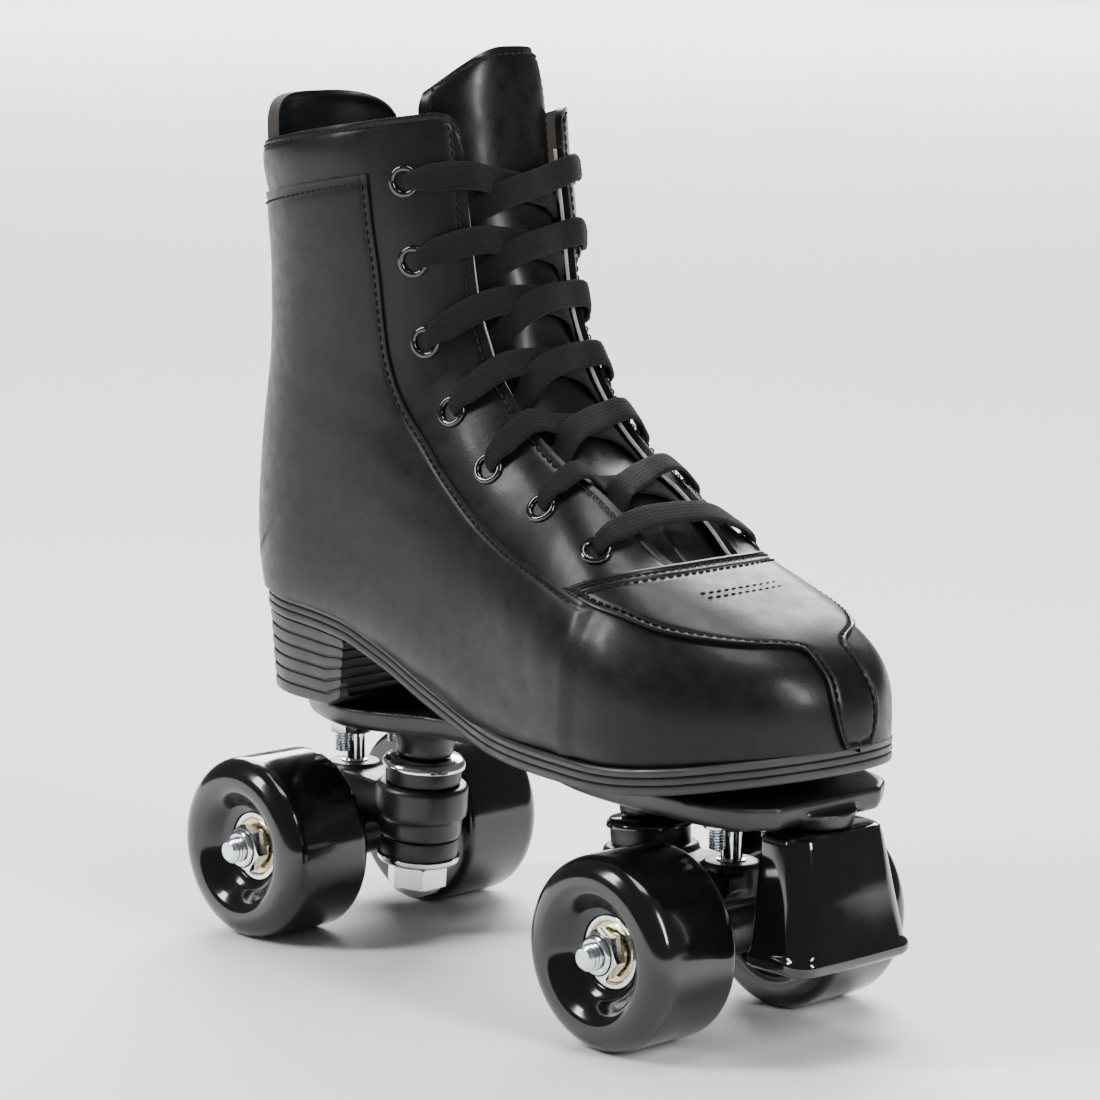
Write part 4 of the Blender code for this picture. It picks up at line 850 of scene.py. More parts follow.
@dataclass
class Upper:
    """Leather upper: two quarters, two facings with their collar bands, and the vamp over the toes."""

    shop: Workshop
    finishes: Finishes
    surface: BootSurface
    seams: Seams
    quarter_height: float = 0.9
    vamp_height: float = 1.5
    wall: float = 2.6
    flap_wall: float = 2.0
    collar_round: float = 9.0
    stitch_in: float = 2.1
    double_row: float = 3.0
    station_length: float = 10.6
    flap_rows: int = 118
    columns: tuple = (0.0, 0.4, 0.9, 1.4, 1.9, 2.4, 2.9, 3.5, 4.3, 5.4, 7.0, 9.0)

    def build(self) -> None:
        """Make every panel and its seams."""
        for side in Side:
            self.quarter(side)
            self.facing(side)
        self.vamp()
        for side in Side:
            self.long_seams(side)
        self.vamp_seams()

    @staticmethod
    def ripple(points: Array, strength: float) -> Array:
        """Slow unevenness of hand-lasted leather at some places, in millimetres."""
        flat = points.reshape(-1, 3)
        values = [0.45 * noise.noise(Vector(p) * 0.032) + 0.12 * noise.noise(Vector(p) * 0.12) for p in flat]
        return np.array(values).reshape(points.shape[:-1]) * strength

    @staticmethod
    def creases(points: Array) -> Array:
        """Soft folds across the ankle and behind the ball, where the boot bends, in millimetres."""
        x, z = points[..., 0], points[..., 2]
        ankle = np.exp(-(((z - 176.0) / 26.0) ** 2) - ((x + 30.0) / 34.0) ** 2)
        folds = np.sin(z * 0.36 + x * 0.13 + 1.2 * np.sin(x * 0.05)) * 0.5
        ball = np.exp(-(((x - 52.0) / 20.0) ** 2) - ((z - 112.0) / 18.0) ** 2)
        return ankle * folds * 0.22 + ball * np.sin(x * 0.42 + z * 0.1) * 0.06

    def groove(self, distance: Array, centre: float, depth: float = 0.28) -> Array:
        """Dent that a row of stitches pulls into the leather.

        Args:
            distance: millimetres from the edge.
            centre: where the row of stitches runs.
            depth: depth of the dent.

        Returns:
            The change in height.
        """
        return -depth * np.exp(-(((distance - centre) / 0.75) ** 2))

    def quarter(self, side: Side) -> None:
        """Lower panel from the toe strip to the heel, lapped over the facing."""
        surface, sign = self.surface, side.value
        u = np.concatenate([np.linspace(0.35, surface.toe_rows, 74, endpoint=False),
                            np.linspace(surface.toe_rows, surface.collar_seam, 122)])
        start = surface.seam_angle(u)
        under_vamp = np.clip((surface.throat + 0.9 - u) / 0.5, 0.0, 1.0)
        start = surface.shifted_angle(u, start, sign, -under_vamp * 2.5)
        stop = surface.sole_angle(u, sign)
        start = np.minimum(start, stop - 0.5)
        angles = surface.spread(u, start, stop, sign, np.array(self.columns), 30)
        uu = np.repeat(u[:, None], angles.shape[1], 1)
        base = surface.points(uu, angles, sign)
        edge = run_across(base)
        from_top = np.linalg.norm(base[-1][None] - base, axis=2)
        free = 1.0 - under_vamp[:, None]
        height = self.quarter_height * free + 0.1
        height = height + self.groove(edge, self.stitch_in) * free
        height = height + self.groove(from_top, self.stitch_in)
        settle = np.clip(edge / 9.0, 0.0, 1.0) * np.clip(from_top / 9.0, 0.0, 1.0)
        height = height + (self.ripple(base, 0.55) + self.creases(base)) * settle
        normals = surface.normals(uu, angles, sign)
        outer = base + normals * height[..., None]
        inner = base - normals * self.wall
        mask = np.ones((len(u) - 1, angles.shape[1] - 1), bool)
        self.shop.shell("quarter_%s_leather" % side.label, outer, inner, mask, ("quarter_" + side.label,),
                        sign > 0,
                   [self.finishes.leather, self.finishes.lining, self.finishes.leather])

    def facing(self, side: Side) -> None:
        """Eyelet flap and collar band in one panel, with a rounded corner at the top of the flap."""
        surface, sign = self.surface, side.value
        seam_line = surface.collar_seam - 0.15
        u = np.concatenate([np.linspace(surface.throat - 0.4, seam_line, self.flap_rows, endpoint=False),
                            np.linspace(seam_line, surface.top, 26)])
        flap, seam = surface.flap_angle(u, sign), surface.seam_angle(u)
        lap = surface.shifted_angle(u, seam, sign, 4.0)
        first = surface.spread(u, flap, lap, sign, np.array(self.columns), 16)
        back = lap[:, None] + (180.0 - lap)[:, None] * np.linspace(0.0, 1.0, 57)[None, 1:]
        angles = np.concatenate([first, back], axis=1)
        uu = np.repeat(u[:, None], angles.shape[1], 1)
        flap_columns = first.shape[1]
        base = surface.points(uu, angles, sign)
        edge = run_across(base)
        per_station = np.linalg.norm(base[-1] - base[-18], axis=1) / (u[-1] - u[-18])
        corner = self.collar_round
        dip = corner - np.sqrt(np.maximum(0.0, corner ** 2 - np.maximum(0.0, corner - edge[-1]) ** 2))
        reach = (uu - (surface.top - 1.4)) / 1.4
        uu = uu - np.clip(reach, 0.0, 1.0) * (dip / per_station)[None, :]
        base = surface.points(uu, angles, sign)
        normals = surface.normals(uu, angles, sign)
        from_top = (surface.top - dip[None, :] / per_station[None, :] - uu) * per_station[None, :]
        height = self.groove(edge, self.stitch_in + 0.9) + self.groove(from_top, self.stitch_in + 0.9)
        band = np.clip((uu - surface.collar_seam) * 1.0, 0.0, 1.0)
        padded = 1.1 * np.sin(np.pi * band) * np.clip((edge - edge[:, [flap_columns - 5]]) / 12.0, 0.0, 1.0)
        puff = 0.7 * np.sin(np.pi * np.clip(edge / (edge[:, [flap_columns - 1]]), 0.0, 1.0)) ** 2
        height = height + padded + puff + self.ripple(base, 0.35)
        outer = base + normals * height[..., None]
        inner = base - normals * self.flap_wall
        mask = np.ones((len(u) - 1, angles.shape[1] - 1), bool)
        mask[:self.flap_rows, flap_columns - 1:] = False
        materials = [self.finishes.leather, self.finishes.lining, self.finishes.leather]
        self.shop.shell("facing_%s_leather" % side.label, outer, inner, mask, ("facing_" + side.label,),
                        sign > 0,
                   materials)
        self.flap_lining(side, u, flap)
        self.edge_seam(side, u, flap)

    def flap_lining(self, side: Side, u: Array, flap: Array) -> None:
        """Thin lining under the flap, whose pale cut edge shows along the opening.

        Args:
            side: side of the boot.
            u: stations along the flap.
            flap: angle of its front edge at each station.
        """
        surface, sign = self.surface, side.value
        keep = u < surface.collar_seam + 0.2
        u, flap = u[keep], flap[keep]
        start = surface.shifted_angle(u, flap, sign, -0.35)
        stop = surface.shifted_angle(u, flap, sign, 16.0)
        angles = start[:, None] + (stop - start)[:, None] * np.linspace(0.0, 1.0, 9)[None, :]
        uu = np.repeat(u[:, None], angles.shape[1], 1)
        upper = surface.lifted(uu, angles, sign, np.full(uu.shape, -self.flap_wall - 0.05))
        lower = surface.lifted(uu, angles, sign, np.full(uu.shape, -self.flap_wall - 1.2))
        mask = np.ones((len(u) - 1, angles.shape[1] - 1), bool)
        self.shop.shell("flap_lining_" + side.label, upper, lower, mask, (), sign > 0,
                   [self.finishes.raw_edge, self.finishes.lining, self.finishes.raw_edge], slot="lining",
                   bevel=0.25)

    def edge_seam(self, side: Side, u: Array, flap: Array) -> None:
        """Stitches along the flap's front edge and round its corner to the back of the collar.

        Args:
            side: side of the boot.
            u: stations along the flap.
            flap: angle of its front edge at each station.
        """
        surface, sign = self.surface, side.value
        keep = (u > surface.throat + 1.6) & (u < surface.top - 0.55)
        inset = self.stitch_in + 0.9
        first = surface.shifted_angle(u[keep], flap[keep], sign, inset)
        up_u, up_angle = u[keep], first
        sweep = np.linspace(0.0, 1.0, 7)[1:]
        corner = surface.shifted_angle(up_u[-1:], up_angle[-1:], sign, 6.0)[0]
        turn = up_angle[-1] + (corner - up_angle[-1]) * (1 - np.cos(sweep * math.pi / 2))
        turn_u = up_u[-1] + (surface.top - 0.17 - up_u[-1]) * np.sin(sweep * math.pi / 2)
        over = np.linspace(turn[-1], 179.0, 60)[1:]
        all_u = np.concatenate([up_u, turn_u, np.full(len(over), surface.top - 0.17)])
        all_angles = np.concatenate([up_angle, turn, over])
        self.seams.row("collar_stitches_" + side.label, surface.lifted(all_u, all_angles, sign, np.full(
            len(all_u), 0.25)), surface.normals(all_u, all_angles, sign))

    def long_seams(self, side: Side) -> None:
        """Stitches inside the quarter's upper edge, from the vamp to the back."""
        surface, sign = self.surface, side.value
        u = np.linspace(surface.throat + 1.3, surface.collar_seam - 0.16, 150)
        angle = surface.shifted_angle(u, surface.seam_angle(u), sign, self.stitch_in)
        places = surface.lifted(u, angle, sign, np.full(len(u), self.quarter_height - 0.02))
        self.seams.row("quarter_stitches_" + side.label, places, surface.normals(u, angle, sign))
        over = np.linspace(angle[-1], 179.0, 70)
        flat = np.full(len(over), surface.collar_seam - 0.15)
        places = surface.lifted(flat, over, sign, np.full(len(over), self.quarter_height - 0.02))
        self.seams.row("collar_seam_stitches_" + side.label, places, surface.normals(flat, over, sign))

    def throat_station(self, share: Array) -> Array:
        """Station of the vamp's back edge; share is 0 at the ridge and 1 at its corners."""
        return self.surface.throat - 0.1 + 1.75 * np.abs(share) ** 2.2

    def vamp_grid(self, u: Array, share: Array) -> tuple[Array, Array, Array]:
        """Stations, angles and sides over the vamp; share runs from -1 at the right edge to 1 at the left.

        Args:
            u: stations before the back edge is bent.
            share: place across the vamp, at each station.

        Returns:
            Stations, angles and sides.
        """
        bend_from = self.surface.toe_rows - 1.5
        stretch = (self.throat_station(share) - bend_from) / (self.surface.throat - 0.1 - bend_from)
        uu = np.where(u > bend_from, bend_from + (u - bend_from) * stretch, u)
        sign = np.where(share < 0, -1, 1)
        return uu, self.surface.seam_angle(uu) * np.abs(share), sign

    def vamp(self) -> None:
        """Toe panel with a folded edge, lapped over the quarters and flaps."""
        surface = self.surface
        u = np.concatenate([np.linspace(0.0, 1.0, 14, endpoint=False),
                            np.linspace(1.0, surface.toe_rows, 76, endpoint=False),
                            np.linspace(surface.toe_rows, surface.throat - 0.1, 20)])
        lengths = np.array([0.0, 0.35, 0.8, 1.3, 1.8, 2.3, 2.8, 3.4, 4.1, 4.9, 6.0, 7.5])
        rows = []
        for station in u:
            angles = np.linspace(0.0, float(surface.seam_angle(np.array(station))), 40)
            line = surface.points(np.full(40, station), angles, 1)
            width = float(np.sum(np.linalg.norm(np.diff(line, axis=0), axis=1))) + 1e-6
            run = np.concatenate([[0.0], np.cumsum(np.linalg.norm(np.diff(line, axis=0), axis=1))]) / width
            keep = np.minimum(lengths,
                              width * 0.6 * lengths / lengths[-1] if width < 12.5 else lengths) / width
            inner = np.linspace(keep[-1], 1.0, 24)[1:]
            wanted = 1.0 - np.concatenate([keep, inner])
            fraction = np.interp(wanted, run, angles) / max(angles[-1], 1e-6)
            rows.append(np.concatenate([-fraction, fraction[::-1][1:]]))
        shares = np.array(rows)
        uu, angles, sign = self.vamp_grid(np.repeat(u[:, None], shares.shape[1], 1), shares)
        stop = np.where(sign > 0, surface.sole_angle(uu, 1), surface.sole_angle(uu, -1))
        angles = np.minimum(angles, stop)
        base = surface.points(uu, angles, sign)
        normals = surface.normals(uu, angles, sign)
        side_run = run_across(base)
        edge = np.minimum(side_run, side_run[:, -1:] - side_run)
        back = np.linalg.norm(base[-1][None] - base, axis=2)
        side_fold, back_fold = (np.exp(-((run - 0.9) / 0.8) ** 2) for run in (edge, back))
        height = self.vamp_height + 0.35 * side_fold + 0.3 * back_fold
        height = height + self.groove(edge, self.stitch_in, 0.42) + self.groove(back, self.stitch_in, 0.4)
        height = height + self.groove(back, self.stitch_in + self.double_row, 0.35)
        height = height + self.ripple(base, 0.5) * np.clip(edge / 10.0, 0.0, 1.0)
        outer = base + normals * height[..., None]
        inner = base - normals * 1.2
        mask = np.ones((len(u) - 1, shares.shape[1] - 1), bool)
        self.shop.shell("vamp_leather", outer, inner, mask, ("vamp",), True,
                   [self.finishes.leather, self.finishes.lining, self.finishes.leather])

    def vamp_seams(self) -> None:
        """Stitches along the vamp's wings and toe strip, double across the throat, and a short bar."""
        surface = self.surface
        for side in Side:
            sign = side.value
            u = np.concatenate([np.linspace(0.9, surface.toe_rows, 90),
                                np.linspace(surface.toe_rows + 0.1, surface.throat + 1.2, 10)])
            angle = surface.shifted_angle(u, surface.seam_angle(u), sign, -self.stitch_in)
            angle = np.maximum(np.minimum(angle, surface.sole_angle(u, sign)), 0.0)
            places = surface.lifted(u, angle, sign, np.full(len(u), self.vamp_height - 0.1))
            self.seams.row("wing_stitches_" + side.label, places, surface.normals(u, angle, sign))
        share = np.linspace(-0.93, 0.93, 90)
        for name, inset in (("throat_stitches", self.stitch_in),
                            ("throat_stitches_inner", self.stitch_in + self.double_row)):
            self.across(name, share, self.throat_station(share) - inset / self.station_length)
        bar = np.linspace(-0.33, 0.22, 40)
        for name, inset in (("bar_stitches_front", 16.8), ("bar_stitches_rear", 14.5)):
            self.across(name, bar, self.throat_station(bar) - inset / self.station_length)

    def across(self, name: str, share: Array, station: Array) -> None:
        """Stitches over the ridge at some shares of the seam's angle.

        Args:
            name: the row's name.
            share: places across the vamp, from -1 to 1.
            station: station at each place.
        """
        sign = np.where(share < 0, -1, 1)
        angle = self.surface.seam_angle(station) * np.abs(share)
        height = np.full(len(share), self.vamp_height - 0.1)
        self.seams.row(name, self.surface.lifted(station, angle, sign, height),
                       self.surface.normals(station, angle, sign))


@dataclass
class Tongue:
    """Padded tongue that stands above the collar, bound and stitched round its top."""

    shop: Workshop
    finishes: Finishes
    surface: BootSurface
    seams: Seams
    drop: float = 7.0
    wall: float = 3.6
    half_y: float = 31.0
    rise: float = 18.6
    slope: float = 0.62
    taper: float = 0.10

    def rows(self, count: int = 56) -> Array:
        """Middle sheet of the tongue, by row from the throat to its top and column from right to left."""
        surface = self.surface
        u = np.linspace(surface.throat - 1.5, surface.top, 150)
        widths = ((surface.throat - 1.5, 15.0), (surface.throat + 2.0, 24.0), (surface.top, self.half_y))
        half = catmull(widths, u)
        across = np.linspace(-1.0, 1.0, count + 1)
        sign = np.where(across < 0, -1, 1)[None, :]
        uu = np.repeat(u[:, None], count + 1, 1)
        angles = surface.angle_of_y(uu, np.abs(across)[None, :] * half[:, None], sign)
        crown = 1.2 * (1.0 - np.abs(across) ** 2.5)[None, :] * np.ones_like(uu)
        body = surface.lifted(uu, angles, np.broadcast_to(sign, uu.shape), crown - self.drop)
        lean = unit(body[-1, count // 2] - body[-12, count // 2])
        top = body[-1]
        near, far = np.clip(-across, 0.0, 1.0), np.clip(across, 0.0, 1.0)
        crest = self.rise * (1.0 - self.slope * near ** 1.7 - 0.14 * far ** 9)
        raised = []
        for part in np.linspace(0.0, 1.0, 24)[1:]:
            row = top + lean * (crest * part)[:, None]
            row[:, 1] = top[:, 1] * (1.0 - self.taper * part ** 2)
            raised.append(row)
        return np.concatenate([body, np.array(raised)])

    def build(self) -> None:
        """Make the tongue and the stitches round its top."""
        sheet = self.rows()
        down = np.gradient(sheet, axis=0)
        over = np.gradient(sheet, axis=1)
        normals = unit(np.cross(over, down))
        count = sheet.shape[1]
        rim = np.minimum(np.minimum(np.arange(count), np.arange(count)[::-1])[None, :] * 1.1,
                         np.arange(len(sheet))[::-1, None] * 0.85)
        puff = 1.5 * (1.0 - np.exp(-np.maximum(rim - 1.0, 0.0) / 3.5))
        mid = Upper.ripple(sheet, 0.9) * np.clip(rim / 8.0, 0.0, 1.0)
        outer = sheet + normals * (puff + mid - 0.5)[..., None]
        inner = sheet - normals * (self.wall - 1.4 + puff * 0.3)[..., None]
        rows, cols = sheet.shape[:2]
        self.shop.shell("tongue_leather", outer, inner, np.ones((rows - 1, cols - 1), bool), ("tongue",),
                        False,
                    [self.finishes.leather_fine, self.finishes.lining, self.finishes.leather_fine], bevel=0.8)
        self.binding_stitches(outer, normals)

    def binding_stitches(self, outer: Array, normals: Array) -> None:
        """Stitches a little inside the tongue's edge, up one side, over the top and down the other.

        Args:
            outer: outer points of the tongue.
            normals: outward directions there.
        """
        rows, cols = outer.shape[:2]
        inset = 3
        start = rows - 46
        track = [(i, inset) for i in range(start, rows - inset - 1)]
        track += [(rows - inset - 1, j) for j in range(inset + 1, cols - inset - 1)]
        track += [(i, cols - inset - 1) for i in range(rows - inset - 2, start, -1)]
        places = np.array([outer[i, j] + normals[i, j] * 0.05 for i, j in track])
        self.seams.row("tongue_stitches", places, np.array([normals[i, j] for i, j in track]))


@dataclass
class BackTab:
    """Lobe of the lining that stands above the collar at the back."""

    shop: Workshop
    finishes: Finishes
    surface: BootSurface
    drop: float = 3.5
    wall: float = 2.6
    spread: float = 40.0
    rise: float = 16.0
    roundness: float = 2.5

    def build(self) -> None:
        """Make the lobe and its piping."""
        surface = self.surface
        u = np.linspace(surface.collar_seam - 0.6, surface.top, 20)
        across = np.linspace(-1.0, 1.0, 49)
        uu, share = np.meshgrid(u, across, indexing="ij")
        base = surface.lifted(uu, 180.0 - np.abs(share) * self.spread, np.where(share <= 0, 1, -1),
                              np.full(uu.shape, -self.drop))
        middle = len(across) // 2
        lean = unit(base[-1, middle] - base[-8, middle])
        top = base[-1]
        crest = self.rise * (1.0 - np.abs(across) ** self.roundness) ** (1 / self.roundness) + 0.6
        raised = [top + lean * (crest * part)[:, None] for part in np.linspace(0.0, 1.0, 20)[1:]]
        sheet = np.concatenate([base, np.array(raised)])
        normals = unit(np.cross(np.gradient(sheet, axis=1), np.gradient(sheet, axis=0)))
        rim = np.arange(len(sheet))[::-1, None] * np.ones((1, len(across)))
        swell = 0.5 * np.exp(-((rim - 1.5) / 2.0) ** 2)
        outer = sheet + normals * (self.wall + swell)[..., None]
        inner = sheet - normals * (0.2 + swell)[..., None]
        self.shop.shell("back_tab_lining", outer, inner, np.ones((len(sheet) - 1, len(across) - 1), bool),
                    ("back_tab",), False, [self.finishes.lining, self.finishes.leather, self.finishes.lining],
                    slot="lining", bevel=0.7)


@dataclass
class Eyelets:
    """Enamelled eyelets through the flaps."""

    shop: Workshop
    finishes: Finishes
    surface: BootSurface
    hole: float = 2.9

    def build(self) -> None:
        """Make both rows."""
        for side in Side:
            self.row(side)

    def row(self, side: Side) -> None:
        """Turned flanges and tubes, one for each eyelet of a side."""
        sweep = np.linspace(-0.5, math.pi + 0.4, 16)
        arc = [(3.95 + 0.98 * math.cos(a), 0.75 + 0.85 * math.sin(a)) for a in sweep]
        tube = self.hole + 0.5
        profile = arc + [(self.hole, -0.4), (self.hole, -4.0), (tube, -4.0), (tube, 0.3)]
        one = Solid.lathe(profile, 40)
        rows = []
        for u, y in zip(self.surface.eyelet_stations, self.surface.eyelet_y):
            station = np.array(self.surface.toe_rows + u)
            angle = self.surface.angle_of_y(station, np.array(y), side.value)
            place = self.surface.lifted(station, angle, side.value, np.array(0.35))
            rows.append(one.moved(place, self.surface.normals(station, angle, np.array(side.value))))
        whole = rows[0].joined(*rows[1:])
        self.shop.solid("eyelets_" + side.label, whole, self.finishes.enamel_and_painted_reflection, ROOT_BODY,
                        "eyelets", ("eyelet_row_" + side.label,), sharp=60.0)


@dataclass
class Lace:
    """Flat braided lace on its real route: over a flap, down an eyelet, under it and across the tongue."""

    shop: Workshop
    finishes: Finishes
    surface: BootSurface
    width: float = 8.6
    thick: float = 1.7
    top: float = 2.3
    low: float = -3.4
    high: float = -1.5
    under: float = -5.2
    steps: int = 12

    def key(self, u: float, angle: float, side: int, height: float, across: Array, width: float) -> tuple:
        """Point of the route: its place, its flat side's direction and its width."""
        place = self.surface.lifted(np.array(u), np.array(angle), side, np.array(height))
        return place, across, width

    def along(self, u: float, angle: float, side: int) -> Array:
        """Direction up the boot."""
        return unit(self.surface.points(np.array(u + 0.2), np.array(angle), side)
                    - self.surface.points(np.array(u - 0.2), np.array(angle), side))

    def eyelet(self, level: int, side: int) -> tuple[float, float]:
        """Station and angle of an eyelet."""
        u = self.surface.toe_rows + self.surface.eyelet_stations[level]
        return u, float(self.surface.angle_of_y(np.array(u), np.array(self.surface.eyelet_y[level]), side))

    def edge(self, u: float, side: int) -> float:
        """Angle of the flap's front edge."""
        return float(self.surface.flap_angle(np.array(u), side))

    def strand(self, start: int) -> list:
        """Half of the lace, from the middle of the lowest bar up to the top eyelet."""
        level, side = len(self.surface.eyelet_stations) - 1, start
        u, _ = self.eyelet(level, side)
        edge = self.edge(u, side)
        keys = [self.key(u, 0.0, side, self.top - 0.3, self.along(u, 0.0, side), self.width),
                self.key(u, edge, side, self.top, self.along(u, edge, side), self.width)]
        while True:
            keys += self.dive(level, side, level > 0)
            if level == 0:
                return keys
            u0, u1 = self.eyelet(level, side)[0], self.eyelet(level - 1, side)[0]
            leave = u0 + (u1 - u0) * 0.40
            edge = self.edge(leave, side)
            way = self.along(leave, edge, side)
            keys.append(self.key(leave, edge + 7.0, side, self.under, way, self.width - 2.0))
            keys.append(self.key(leave + 0.04 * (u1 - u0), edge - 3.0, side, self.under + 0.4, way,
                                 self.width - 1.0))
            height = self.high if side < 0 else self.low
            for share, at in ((0.45, 0.60), (0.0, 0.72), (-0.5, 0.85)):
                u = u0 + (u1 - u0) * at
                keys.append(self.key(u, abs(share) * edge, side if share > 0 else -side, height,
                                     self.along(u, 0.0, side), self.width))
            side, level = -side, level - 1
            edge = self.edge(u1, side)
            keys.append(self.key(u1 + (u0 - u1) * 0.03, edge - 0.6, side, self.top - 0.1,
                                 self.along(u1, edge, side), self.width))

    def dive(self, level: int, side: int, upward: bool) -> list:
        """Over the flap to an eyelet, down through it and away under the flap.

        Args:
            level: number of the eyelet, from the top.
            side: -1 or 1.
            upward: whether the lace comes up through it.

        Returns:
            Its keys, in order.
        """
        u, angle = self.eyelet(level, side)
        surface = self.surface
        step = 1.0 / float(np.linalg.norm(surface.points(np.array(u), np.array(angle + 0.5), side)
                                          - surface.points(np.array(u), np.array(angle - 0.5), side)))
        along = self.along(u, angle, side)
        normal = surface.normals(np.array(u), np.array(angle), np.array(side))
        centre = surface.points(np.array(u), np.array(angle), side)
        outward = unit(surface.points(np.array(u), np.array(angle - 4.0), side) - centre)
        keys = [self.key(u, angle - 9.0 * step, side, self.top + 0.1, along, self.width),
                (centre + outward * 4.6 + normal * (self.top + 0.35), along, 6.6),
                (centre + outward * 1.7 + normal * 1.9, along, 5.3),
                (centre + outward * 0.2 + normal * -0.6, along, 4.6),
                (centre + normal * -3.4, along, 4.6)]
        if upward:
            keys.append((centre + along * 0.9 + normal * -5.3, along, 4.6))
            keys.append((centre + along * 3.4 + outward * 1.6 + normal * -5.8, outward * -1, 5.4))
        else:
            keys.append((centre - along * 0.9 + normal * -5.3, along, 4.6))
            keys.append((centre - along * 3.8 + normal * -5.8, outward * -1, 5.4))
            keys.append((centre - along * 9.5 + normal * -5.8, outward * -1, 6.0))
        return keys

    def build(self) -> float:
        """Sweep the ribbon along its route.

        Returns:
            Its length in millimetres.
        """
        keys = self.strand(1)[::-1] + self.strand(-1)[1:]
        places = np.array([k[0] for k in keys])
        gaps = np.linalg.norm(np.diff(places, axis=0), axis=1)
        tangents = [places[1] - places[0]]
        for k in range(1, len(places) - 1):
            before, after = (places[k] - places[k - 1]) / gaps[k - 1], (places[k + 1] - places[k]) / gaps[k]
            tangents.append((before * gaps[k] + after * gaps[k - 1]) / (gaps[k - 1] + gaps[k]))
        tangents.append(places[-1] - places[-2])
        tangents = unit(np.array(tangents))
        path, across, widths = [], [], []
        for k in range(len(keys) - 1):
            for n in range(self.steps):
                t = n / self.steps
                path.append(hermite(places[k], places[k + 1], tangents[k] * gaps[k],
                                    tangents[k + 1] * gaps[k], t))
                ease = t * t * (3 - 2 * t)
                across.append(keys[k][1] * (1 - ease) + keys[k + 1][1] * ease)
                widths.append(keys[k][2] * (1 - ease) + keys[k + 1][2] * ease)
        path, across, widths = np.array(path), np.array(across), np.array(widths)
        forward = unit(np.gradient(path, axis=0))
        for _ in range(3):
            across[1:-1] = (across[:-2] + 2 * across[1:-1] + across[2:]) / 4
        across = unit(across - forward * np.sum(across * forward, axis=1, keepdims=True))
        up = np.cross(forward, across)
        length = float(np.sum(np.linalg.norm(np.diff(path, axis=0), axis=1)))
        self.ribbon(path, across, up, widths)
        return length

    def ribbon(self, path: Array, across: Array, up: Array, widths: Array) -> None:
        """Make the lace's mesh and its length-and-width map."""
        marks = np.linspace(-1.0, 1.0, 15)
        ribs = 0.10 * np.abs(np.cos(marks * math.pi * 3.5))
        dome = np.sqrt(np.maximum(0.0, 1.0 - np.abs(marks) ** 5)) * (1.0 - 0.08 * marks ** 2)
        outline = [(m, d + r) for m, d, r in zip(marks, dome, ribs)]
        outline += [(m, -d - r) for m, d, r in list(zip(marks, dome, ribs))[-2:0:-1]]
        rings = []
        fold = np.minimum(1.0, widths / self.width)
        for p, a, n, w, f in zip(path, across, up, widths, fold):
            half_t = self.thick / 2 * (1.0 + 0.35 * (1.0 - f))
            rings.append([p + a * m * w / 2 + n * h * half_t for m, h in outline])
        solid = Solid.loft(rings)
        obj = self.shop.solid("woven_lace", solid, self.finishes.braid, ROOT_BODY, "lace",
                              ("lace",), sharp=70.0)
        run = np.concatenate([[0.0], np.cumsum(np.linalg.norm(np.diff(path, axis=0), axis=1))]) * MM
        layer = obj.data.uv_layers.new(name="lace_map")
        count = len(outline)
        for loop in obj.data.loops:
            row, column = divmod(loop.vertex_index, count)
            layer.data[loop.index].uv = (run[row], (outline[column][0] + 1.0) / 2)


